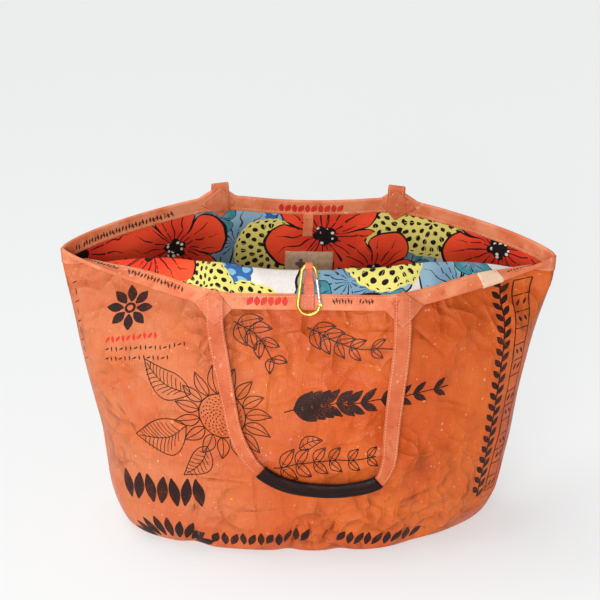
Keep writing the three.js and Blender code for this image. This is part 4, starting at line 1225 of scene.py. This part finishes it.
def newGroup(name, inputs, outputs):
    tree = bpy.data.node_groups.new(name, "ShaderNodeTree")
    kinds = {"vector": "NodeSocketVector", "float": "NodeSocketFloat", "color": "NodeSocketColor"}
    for key, (kind, value) in inputs.items():
        made = tree.interface.new_socket(name=key, in_out="INPUT", socket_type=kinds[kind])
        if value is not None:
            made.default_value = value
    for key, kind in outputs.items():
        tree.interface.new_socket(name=key, in_out="OUTPUT", socket_type=kinds[kind])
    g = Graph(tree)
    return g, tree, g.node("NodeGroupInput").outputs, g.node("NodeGroupOutput").inputs


def weaveGroup():
    # flat tapes crossing over and under: height, which way is on top, and where painted shade darkens the tape edges
    g, tree, given, result = newGroup("weave", {"Vector": ("vector", None), "Pitch": ("float", 0.002)},
                                      {"Height": "float", "Over": "float", "EdgeShade": "float"})
    x, y, _ = g.split(g.scale(given["Vector"], g.math("DIVIDE", 1.0, given["Pitch"])))
    shapes = []
    for value in (x, y):
        part = g.sub(g.math("FRACT", value), 0.5)
        shapes.append(g.sub(1.0, g.math("POWER", g.mul(g.math("ABSOLUTE", part), 2.0), 4.0)))
    total = g.add(g.math("FLOOR", x), g.math("FLOOR", y))
    over = g.math("ABSOLUTE", g.math("MODULO", total, 2.0))
    swap = g.node("ShaderNodeMix", {"data_type": "FLOAT"}, {0: over, 2: shapes[0], 3: shapes[1]}).outputs[0]
    g.feed(result["Height"], swap)
    g.feed(result["Over"], over)
    g.feed(result["EdgeShade"], g.sub(1.0, g.mul(shapes[0], shapes[1])))
    return tree


def scuffGroup():
    # sparse small flecks and short rubbed streaks
    g, tree, given, result = newGroup("scuffs", {"Vector": ("vector", None), "Cell": ("float", 0.012),
                                                 "Size": ("float", 0.1)}, {"Mask": "float"})
    place = g.scale(given["Vector"], g.math("DIVIDE", 1.0, given["Cell"]))
    bent = g.vector("ADD", place, g.scale(g.noise(place, 1.7, 2.0, 0.6, "Color"), 0.9))
    cell = g.node("ShaderNodeTexVoronoi", {}, {"Vector": bent, "Scale": 1.0, "Randomness": 1.0}).outputs
    size = g.mul(given["Size"], g.math("POWER", g.split(cell["Color"])[0], 3.0))
    dot = g.less(cell["Distance"], size)
    patchy = g.span(g.noise(place, 0.23, 2.0), 0.42, 0.66)
    g.feed(result["Mask"], g.mul(dot, patchy))
    return tree


def crumpleGroup():
    # shallow bowls that meet in sharp folds, at two sizes
    g, tree, given, result = newGroup("crumple", {"Vector": ("vector", None), "Cell": ("float", 0.04)},
                                      {"Height": "float"})
    place = g.scale(given["Vector"], g.math("DIVIDE", 1.0, given["Cell"]))
    place = g.vector("ADD", place, g.scale(g.noise(place, 0.9, 2.0, 0.5, "Color"), 1.0))
    parts = []
    for size, shift in ((1.0, 0.0), (2.6, 7.3)):
        spot = g.vector("ADD", g.scale(place, size), (shift, shift, shift))
        away = g.node("ShaderNodeTexVoronoi", {}, {"Vector": spot, "Scale": 1.0}).outputs["Distance"]
        parts.append(g.math("DIVIDE", g.math("POWER", away, 2.0), size))
    g.feed(result["Height"], g.add(parts[0], parts[1]))
    return tree


def creaseGroup():
    # a sharp fold between two points, fading towards its ends, added to the height given
    g, tree, given, result = newGroup("crease", {"Vector": ("vector", None), "Height": ("float", 0.0),
        "From": ("vector", None), "To": ("vector", None), "Width": ("float", 0.004), "Depth": ("float", 1.0)},
        {"Height": "float"})
    run, away = g.vector("SUBTRACT", given["To"], given["From"]), g.vector("SUBTRACT", given["Vector"], given["From"])
    share = g.math("DIVIDE", g.vector("DOT_PRODUCT", away, run), g.vector("DOT_PRODUCT", run, run))
    held = g.math("MINIMUM", g.math("MAXIMUM", share, 0.0), 1.0)
    gap = g.vector("LENGTH", g.vector("SUBTRACT", away, g.scale(run, held)))
    tent = g.math("MAXIMUM", 0.0, g.sub(1.0, g.math("DIVIDE", gap, given["Width"])))
    taper = g.math("SINE", g.mul(held, math.pi))
    lift = g.mul(g.mul(g.math("POWER", tent, 1.4), taper), given["Depth"])
    g.feed(result["Height"], g.add(given["Height"], lift))
    return tree


def bloomGroup():
    # one scattered flower or disc in each cell: petals round a middle, with outline and veins
    g, tree, given, result = newGroup("bloom", {
        "Vector": ("vector", None), "Cell": ("float", 0.12), "Reach": ("float", 0.4), "Petals": ("float", 5.0),
        "Depth": ("float", 0.25), "Stray": ("float", 0.7), "Shift": ("float", 0.0),
        "Veins": ("float", 9.0), "Rings": ("float", 4.0)},
        {"Mask": "float", "Line": "float", "Vein": "float", "Seed": "float", "Heart": "float", "Dots": "float",
         "Away": "float"})
    place = g.vector("ADD", g.scale(given["Vector"], g.math("DIVIDE", 1.0, given["Cell"])),
                     g.join(given["Shift"], g.mul(given["Shift"], 0.37)))
    wave = g.scale(g.vector("SUBTRACT", g.noise(place, 5.0, 1.0, 0.5, "Color"), (0.5, 0.5, 0.5)), 0.06)
    bent = g.vector("ADD", place, wave)
    cell = g.node("ShaderNodeTexVoronoi", {"voronoi_dimensions": "2D"},
                  {"Vector": bent, "Scale": 1.0, "Randomness": given["Stray"]}).outputs
    away = g.vector("SUBTRACT", bent, cell["Position"])
    x, y, _ = g.split(away)
    pick = g.split(cell["Color"])
    turn = g.add(g.math("ARCTAN2", y, x), g.mul(pick[0], 6.283))
    size = g.mul(given["Reach"], g.add(0.8, g.mul(pick[1], 0.3)))
    lobes = g.math("ABSOLUTE", g.math("COSINE", g.mul(turn, g.mul(given["Petals"], 0.5))))
    soft = g.math("POWER", lobes, 0.6)
    edge = g.mul(size, g.add(g.sub(1.0, given["Depth"]),
                                           g.mul(given["Depth"], soft)))
    share = g.math("DIVIDE", cell["Distance"], edge)
    g.feed(result["Mask"], g.less(share, 1.0))
    border = g.math("GREATER_THAN", share, 0.95)
    gap = g.less(lobes, g.mul(share, 0.13))
    g.feed(result["Line"], g.math("MAXIMUM", border, gap))
    wobble = g.mul(g.noise(place, 7.0, 1.0), 2.4)
    fine = g.math("ABSOLUTE", g.math("SINE", g.add(wobble, g.mul(turn, given["Veins"]))))
    thin = g.span(share, 0.2, 0.86, 0.42, 0.0, "LINEAR")
    broken = g.math("GREATER_THAN", g.noise(place, 16.0, 1.0), 0.4)
    g.feed(result["Vein"], g.mul(g.less(fine, thin), broken))
    ring = g.mul(share, given["Rings"])
    row = g.math("FLOOR", ring)
    part = g.add(g.mul(turn, g.math("DIVIDE", g.add(5.0, g.mul(row, 5.0)), 6.2832)),
                  g.mul(row, 0.37))
    away2 = g.vector("LENGTH", g.join(g.mul(g.sub(g.math("FRACT", part), 0.5), 1.25),
                                      g.sub(g.math("FRACT", ring), 0.5)))
    uneven = g.add(0.2, g.mul(g.noise(place, 9.0, 1.0), 0.3))
    g.feed(result["Seed"], g.less(away2, uneven))
    g.feed(result["Heart"], g.less(share, 0.2))
    dots = g.node("ShaderNodeTexVoronoi", {}, {"Vector": place, "Scale": 24.0, "Randomness": 0.6}).outputs["Distance"]
    wreath = g.mul(g.math("GREATER_THAN", share, 0.09), g.less(share, 0.19))
    g.feed(result["Dots"], g.mul(g.less(dots, 0.33), wreath))
    g.feed(result["Away"], share)
    return tree


groups = {"weave": weaveGroup(), "scuffs": scuffGroup(), "crumple": crumpleGroup(), "crease": creaseGroup(),
          "bloom": bloomGroup()}


def newMaterial(name, shine=0.5):
    made = bpy.data.materials.new(name)
    made.use_nodes = True
    made.node_tree.nodes.clear()
    g = Graph(made.node_tree)
    shader = g.node("ShaderNodeBsdfPrincipled")
    shader.inputs["Specular IOR Level"].default_value = shine
    g.tree.links.new(shader.outputs[0], g.node("ShaderNodeOutputMaterial").inputs[0])
    return made, g, shader.inputs


def bump(g, height, strength, distance, normal=None):
    inputs = {"Height": height, "Strength": strength, "Distance": distance}
    if normal is not None:
        inputs["Normal"] = normal
    return g.node("ShaderNodeBump", {}, inputs).outputs[0]


def clothCoords(g):
    uv = g.node("ShaderNodeUVMap", {"uv_map": "cloth"}).outputs[0]
    return uv, g.node("ShaderNodeTexCoord").outputs["Object"]


# the dark orange tone is painted shade for the tape edges of the weave
# the pale pink tone is painted sheen, laid over the left side of the sack
sackLook = {"deep": (178, 54, 6), "mid": (201, 78, 10), "pale": (212, 101, 32), "fleck": (242, 182, 138),
            "leftSheen": (212, 132, 92), "join": (138, 44, 10), "pitch": 0.0021}
# sharp folds on the front: x and z of both ends, width and height in millimetres
sharpFolds = [
    (-152, 104, -62, 103, 4, 0.7), (-117, 93, -136, 46, 5, 1.0), (-128, 80, -141, 44, 4, -0.7),
    (-66, 120, -60, 40, 4, 0.6), (-90, 60, -30, 66, 4, -0.5), (-12, 52, -24, 4, 4, 1.0), (34, 58, 10, 6, 4, -1.0),
    (-4, 60, 8, 2, 4, 0.8), (50, 40, 62, 2, 4, 0.7), (-100, 290, -134, 226, 5, 0.7), (-84, 288, -36, 258, 5, 0.8),
    (-30, 278, 60, 290, 5, -0.7), (98, 290, 58, 246, 5, 0.7), (112, 288, 158, 244, 5, -0.7),
    (-210, 300, -150, 262, 5, 0.6), (-238, 214, -190, 128, 5, -0.6), (150, 90, 84, 66, 5, 0.6),
    (-46, 236, -52, 150, 4, 0.5), (16, 240, 10, 150, 4, -0.4), (120, 204, 190, 176, 5, 0.5),
    (90, 40, 150, 26, 5, 0.6), (196, 300, 236, 226, 4, 0.6),
]


def sackMaterial():
    s = sackLook
    made, g, shader = newMaterial("wovenSack", 0.3)
    uv, spot = clothCoords(g)
    weave = g.group(groups["weave"], {"Vector": uv, "Pitch": s["pitch"]})
    broad = g.noise(spot, 9.0, 3.0, 0.55)
    streak = g.noise(g.vector("MULTIPLY", uv, (70.0, 700.0, 1.0)), 1.0, 2.0, 0.6)
    streakAcross = g.noise(g.vector("MULTIPLY", uv, (700.0, 45.0, 1.0)), 1.0, 2.0, 0.6)
    base = g.blend(g.span(broad, 0.35, 0.7), linear(s["mid"]), linear(s["pale"]))
    base = g.blend(g.span(g.noise(spot, 26.0, 3.0, 0.6), 0.46, 0.75, 0.0, 0.5), base, linear(s["deep"]))
    # painted sheen: the left side is blended towards pale pink, broken up by noise, in place of the side light's
    # gloss
    leftSheenRamp = g.span(g.split(spot)[0], -0.26, 0.06, 1.0, 0.0)
    rampWeight = g.mul(leftSheenRamp, g.span(g.noise(spot, 12.0, 3.0, 0.6), 0.3, 0.7, 0.25, 0.95))
    base = g.blend(rampWeight, base, linear(s["leftSheen"]))
    base = g.blend(g.span(streak, 0.5, 0.72, 0.0, 0.4), base, linear(s["pale"]))
    base = g.blend(g.span(streakAcross, 0.5, 0.75, 0.0, 0.35), base, linear(s["deep"]))
    # painted shade: the tape edges of the weave are darkened towards dark orange
    base = g.blend(g.mul(weave["EdgeShade"], 0.3), base, linear(s["join"]))
    base = g.blend(g.mul(weave["Over"], 0.14), base, linear(s["pale"]))
    flecks = g.group(groups["scuffs"], {"Vector": uv, "Cell": 0.005, "Size": 0.32})["Mask"]
    base = g.blend(g.mul(flecks, 0.5), base, linear(s["fleck"]))
    g.feed(shader["Base Color"], base)
    g.feed(shader["Roughness"], g.span(g.noise(spot, 40.0, 3.0), 0.3, 0.7, 0.38, 0.54))
    height = 0.0
    flat = g.vector("MULTIPLY", spot, (1.0, 0.0, 1.0))
    for x1, z1, x2, z2, wide, high in sharpFolds:
        height = g.group(groups["crease"], {"Vector": flat, "Height": height, "From": (x1 * mm, 0, z1 * mm),
                                            "To": (x2 * mm, 0, z2 * mm), "Width": wide * mm, "Depth": high})["Height"]
    front = g.less(g.split(spot)[1], 0.0)
    folds = bump(g, g.mul(height, front), 1.0, 0.0028)
    crumple = g.group(groups["crumple"], {"Vector": spot, "Cell": 0.05})
    folds = bump(g, crumple["Height"], g.span(g.noise(spot, 7.0, 2.0), 0.35, 0.65, 0.35, 1.0), 0.018, folds)
    soft = bump(g, g.noise(spot, 120.0, 3.0, 0.55), 0.3, 0.0014, folds)
    ribs = bump(g, g.add(streak, streakAcross), 0.35, 0.0008, soft)
    g.feed(shader["Normal"], bump(g, weave["Height"], 0.4, 0.0003, ribs))
    return made


liningLook = {"ground": (214, 206, 202), "cream": (226, 220, 208), "red": (240, 76, 42), "redDeep": (218, 54, 32),
              "ink": (26, 14, 16), "yellow": (220, 208, 112), "blue": (50, 100, 158), "sky": (132, 178, 206),
              "leaf": (142, 172, 190), "leafDeep": (110, 146, 170), "teal": (60, 130, 140)}
# from the ground up: cell, reach, petals, depth, stray, shift, veins, rings, then tones of petal, inside and marks
bloomTable = [
    (0.12, 0.34, 24, 0.05, 0.9, 11.7, 9.0, 3.0, "blue", "blue", "petal"),
    (0.09, 0.66, 2, 0.66, 0.9, 3.1, 7.0, 3.0, "leaf", "leafDeep", "vein"),
    (0.08, 0.3, 3, 0.5, 0.95, 14.3, 5.0, 3.0, "teal", "leafDeep", "vein"),
    (0.12, 0.4, 24, 0.04, 0.9, 26.1, 9.0, 4.6, "yellow", "yellow", "seed"),
    (0.145, 0.5, 5, 0.38, 0.7, 5.9, 9.0, 4.0, "red", "redDeep", "flower"),
]


def liningMaterial():
    s = {key: linear(value) for key, value in liningLook.items()}
    made, g, shader = newMaterial("printedLining", 0.2)
    uv, spot = clothCoords(g)
    cloth = g.noise(uv, 500.0, 2.0)
    base = g.blend(g.span(g.noise(uv, 40.0, 3.0), 0.4, 0.7), s["ground"], s["cream"])
    for cell, reach, petals, depth, stray, shift, veins, rings, outer, inner, marks in bloomTable:
        b = g.group(groups["bloom"], {"Vector": uv, "Cell": cell, "Reach": reach, "Petals": float(petals),
                                      "Depth": depth, "Stray": stray, "Shift": shift, "Veins": veins, "Rings": rings})
        tone = g.blend(g.span(b["Away"], 0.25, 0.8), s[inner], s[outer])
        if marks == "petal":
            tone = g.blend(b["Seed"], tone, s["sky"])
        elif marks == "seed":
            tone = g.blend(b["Seed"], tone, s["ink"])
        else:
            tone = g.blend(g.mul(b["Vein"], 0.92), tone, s["ink"])
        if marks != "petal":
            tone = g.blend(b["Line"], tone, s["ink"] if marks != "seed" else s["yellow"])
        if marks == "flower":
            tone = g.blend(b["Dots"], g.blend(b["Heart"], tone, s["ink"]), s["cream"])
        base = g.blend(b["Mask"], base, tone)
    g.feed(shader["Base Color"], g.blend(g.span(cloth, 0.3, 0.7, 0.0, 0.1), base, s["ink"]))
    g.feed(shader["Roughness"], g.span(cloth, 0.3, 0.7, 0.78, 0.92))
    soft = bump(g, g.noise(spot, 90.0, 3.0), 0.25, 0.001)
    g.feed(shader["Normal"], bump(g, cloth, 0.2, 0.0002, soft))
    return made


def tapeMaterial(name, tones, pitch=0.0011, rough=0.5):
    dark, mid, pale = (linear(t) for t in tones)
    made, g, shader = newMaterial(name, 0.3)
    uv, spot = clothCoords(g)
    weave = g.group(groups["weave"], {"Vector": uv, "Pitch": pitch})
    base = g.blend(g.span(g.noise(spot, 30.0, 3.0, 0.6), 0.35, 0.68), mid, pale)
    base = g.blend(g.span(g.noise(spot, 110.0, 2.0), 0.55, 0.8, 0.0, 0.5), base, dark)
    # painted shade: the tape edges of the weave are darkened
    base = g.blend(g.mul(weave["EdgeShade"], 0.35), base, dark)
    flecks = g.group(groups["scuffs"], {"Vector": spot, "Cell": 0.006, "Size": 0.4})["Mask"]
    base = g.blend(g.mul(flecks, 0.4), base, linear((250, 205, 175)))
    g.feed(shader["Base Color"], base)
    g.feed(shader["Roughness"], g.span(g.noise(spot, 60.0, 2.0), 0.3, 0.7, rough - 0.08, rough + 0.08))
    crumple = bump(g, g.noise(spot, 260.0, 3.0, 0.55), 0.3, 0.0008)
    g.feed(shader["Normal"], bump(g, weave["Height"], 0.3, 0.0002, crumple))
    return made


def gripMaterial():
    made, g, shader = newMaterial("gripSleeve", 0.14)
    uv, spot = clothCoords(g)
    wear = g.noise(g.vector("MULTIPLY", uv, (300.0, 26.0, 1.0)), 1.0, 3.0, 0.6)
    base = g.blend(g.span(wear, 0.4, 0.75), linear((24, 8, 9)), linear((50, 21, 20)))
    g.feed(shader["Base Color"], base)
    g.feed(shader["Roughness"], g.span(g.noise(spot, 140.0, 3.0), 0.3, 0.7, 0.36, 0.52))
    g.feed(shader["Normal"], bump(g, wear, 0.2, 0.0004))
    return made


def metalMaterial(name, tone, dull):
    made, g, shader = newMaterial(name)
    spot = clothCoords(g)[1]
    wear = g.noise(spot, 700.0, 3.0, 0.6)
    g.feed(shader["Base Color"], g.blend(g.span(wear, 0.45, 0.8), linear(tone), linear(dull)))
    g.feed(shader["Roughness"], g.span(wear, 0.3, 0.8, 0.2, 0.42))
    shader["Metallic"].default_value = 1.0
    return made


def labelMaterial():
    made, g, shader = newMaterial("labelCloth")
    uv, spot = clothCoords(g)
    weave = g.group(groups["weave"], {"Vector": uv, "Pitch": 0.0006})
    base = g.blend(g.span(g.noise(uv, 200.0, 3.0), 0.35, 0.7), linear((214, 184, 150)), linear((196, 162, 126)))
    # painted shade: the thread edges of the weave are darkened towards brown
    base = g.blend(g.mul(weave["EdgeShade"], 0.3), base, linear((120, 90, 66)))
    away = g.vector("SUBTRACT", uv, (0.020, 0.0155, 0.0))
    x, y, _ = g.split(away)
    radius = g.vector("LENGTH", away)
    lobes = g.math("ABSOLUTE", g.math("COSINE", g.mul(g.math("ARCTAN2", y, x), 2.0)))
    petal = g.less(radius, g.add(0.0035, g.mul(lobes, 0.0035)))
    base = g.blend(g.mul(petal, 0.8), base, linear((60, 40, 34)))
    g.feed(shader["Base Color"], base)
    g.feed(shader["Roughness"], g.span(weave["EdgeShade"], 0.0, 1.0, 0.75, 0.9))
    g.feed(shader["Normal"], bump(g, weave["Height"], 0.3, 0.0002))
    return made


def threadMaterial(name, tone, pale):
    made, g, shader = newMaterial(name)
    spot = clothCoords(g)[1]
    g.feed(shader["Base Color"], g.blend(g.noise(spot, 900.0, 2.0), linear(tone), linear(pale)))
    g.feed(shader["Roughness"], g.span(g.noise(spot, 1500.0, 2.0), 0.3, 0.7, 0.6, 0.8))
    return made


def inkMaterial(name, ink, ground, worn):
    # dry print, rubbed through to the cloth in places
    made, g, shader = newMaterial(name, 0.2)
    spot = clothCoords(g)[1]
    thin = g.mul(g.span(g.noise(spot, 900.0, 3.0, 0.7), 0.5, 0.72),
                  g.span(g.noise(spot, 38.0, 2.0), 0.35, 0.65, 0.15, 1.0))
    base = g.blend(g.mul(thin, worn), linear(ink), linear(ground))
    g.feed(shader["Base Color"], base)
    g.feed(shader["Roughness"], g.span(thin, 0.0, 1.0, 0.5, 0.6))
    return made


looks = {
    "dark": inkMaterial("darkPrint", (34, 12, 10), (214, 92, 38), 0.6),
    "red": inkMaterial("redPrint", (206, 44, 26), (224, 104, 54), 0.5),
    "tapeDark": inkMaterial("darkTapePrint", (70, 26, 18), (224, 128, 88), 0.6),
    "tapeRed": inkMaterial("redTapePrint", (206, 42, 34), (228, 130, 96), 0.6),
    "sack": sackMaterial(), "lining": liningMaterial(),
    "binding": tapeMaterial("printedTape", ((178, 64, 34), (214, 111, 68), (230, 146, 104))),
    "patch": tapeMaterial("patchTape", ((172, 62, 32), (204, 104, 65), (218, 133, 95))),
    "strap": tapeMaterial("strapTape", ((158, 52, 22), (196, 90, 49), (210, 114, 72)), 0.0014),
    "closing": tapeMaterial("closingTape", ((160, 48, 32), (208, 92, 60), (222, 124, 92)), 0.001),
    "splice": tapeMaterial("spliceTape", ((196, 140, 108), (226, 190, 160), (240, 216, 194))),
    "grip": gripMaterial(), "gold": metalMaterial("goldMetal", (224, 176, 84), (176, 120, 50)),
    "silver": metalMaterial("silverMetal", (206, 208, 212), (150, 150, 156)), "label": labelMaterial(),
    "thread": threadMaterial("orangeThread", (190, 84, 40), (226, 130, 84)),
    "paleThread": threadMaterial("paleThread", (222, 150, 112), (244, 196, 160)),
}


# ---------- dressing the frame ----------

for piece, look, body, slotName, node in (
        (shell, "sack", "bag", "sack", "sackShell"), (lining, "lining", "bag", "lining", "lining"),
        (binding, "binding", "bag", "binding", "rimBinding"), (splice, "splice", "bag", "splice", "bindingSplice"),
        *((piece, "patch", "bag", "binding", "patch" + name) for piece, name in zip(patches, patchNames)),
        *((part, kind, "bag", kind, node + name) for name in handles
          for part, kind, node in zip(handles[name], ("strap", "grip"), ("handle", "grip"))),
        (closingStrap, "closing", "bag", "strap", "closureStrap"), (ring, "gold", "bag", "ring_wire", "clipRing"),
        (gate, "silver", "gate", "gate_wire", "clipGate"), (backTab, "binding", "bag", "binding", "backTab"),
        (label, "label", "bag", "label", "sewnLabel")):
    finishPiece(piece, looks[look], body, slotName, [node])
for kind, slotName in (("dark", "sack"), ("red", "sack"), ("tapeDark", "binding"), ("tapeRed", "binding")):
    finishPiece(prints[kind], looks[kind], "bag", slotName)

for lift in (2.2, -2.2):
    at = np.arange(0, columnCount + 1, 1.5)
    heights = rimHeight(at) - tape["stitchAt"] - earShape(at / bag["perColumn"] % 60, bag["earWide"])
    threadRuns["binding"].append(clothAt(at, heights, lift))
for runs, slotName, look, spacing, long, radius in (
        ("binding", "binding", "paleThread", 0.0036, 0.0027, 0.00032),
        ("patch", "binding", "thread", 0.0028, 0.0022, 0.0004),
        ("strap", "strap", "paleThread", 0.0036, 0.0026, 0.0003),
        ("label", "label", "paleThread", 0.003, 0.0022, 0.00025)):
    stitches = makeStitches(runs + "Stitches", threadRuns[runs], looks[look], spacing, long, radius, 3)
    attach(stitches, "bag")
print("materials and stitches made")


# ---------- floor and light ----------

stageSet = {"floorTone": (0.40, 0.42, 0.424), "floorGlow": 0.497}
lightSet = {
    "world": 0.39, "aim": (0, 0, 0.2),
    "key": {"energy": 1.4, "wide": 50.0, "tilt": 24.0, "turn": -110.0},
    "areas": {"sideLight": (1.3, (-1.9, -1.0, 0.9), 1.2, 60), "frontLight": (13.2, (-0.5, -3.0, 1.2), 1.6, 75)},
}


def makeFloor():
    obj = makeMesh("floor", [(-9, -9, 0), (9, -9, 0), (9, 9, 0), (-9, 9, 0)], [[0, 1, 2, 3]], None, False)
    made, g, shader = newMaterial("paleFloor", 0.0)
    spot = g.node("ShaderNodeTexCoord").outputs["Object"]
    tone, glow = stageSet["floorTone"], stageSet["floorGlow"]
    g.feed(shader["Base Color"], g.blend(g.noise(spot, 3.0, 2.0), tone, tuple(t + 0.004 for t in tone)))
    shader["Emission Color"].default_value = (1.0, 0.985, 0.98, 1)
    shader["Emission Strength"].default_value = glow
    shader["Roughness"].default_value = 0.9
    obj.data.materials.append(made)


def makeLights(s):
    world = bpy.data.worlds.new("studio")
    world.use_nodes = True
    world.node_tree.nodes["Background"].inputs["Color"].default_value = (1, 1, 1, 1)
    world.node_tree.nodes["Background"].inputs["Strength"].default_value = s["world"]
    bpy.context.scene.world = world
    data = bpy.data.lights.new("keyLight", "SUN")
    data.energy, data.angle = s["key"]["energy"], math.radians(s["key"]["wide"])
    addObject("keyLight", data).rotation_euler = (math.radians(s["key"]["tilt"]), 0, math.radians(s["key"]["turn"]))
    for name, (energy, spot, size, spread) in s["areas"].items():
        data = bpy.data.lights.new(name, "AREA")
        data.shape, data.size, data.energy, data.spread = "DISK", size, energy, math.radians(spread)
        lamp = addObject(name, data)
        lamp.location = spot
        lamp.rotation_euler = (Vector(s["aim"]) - lamp.location).to_track_quat("-Z", "Y").to_euler()


makeFloor()
makeLights(lightSet)
bpy.context.scene.view_settings.view_transform = "Standard"
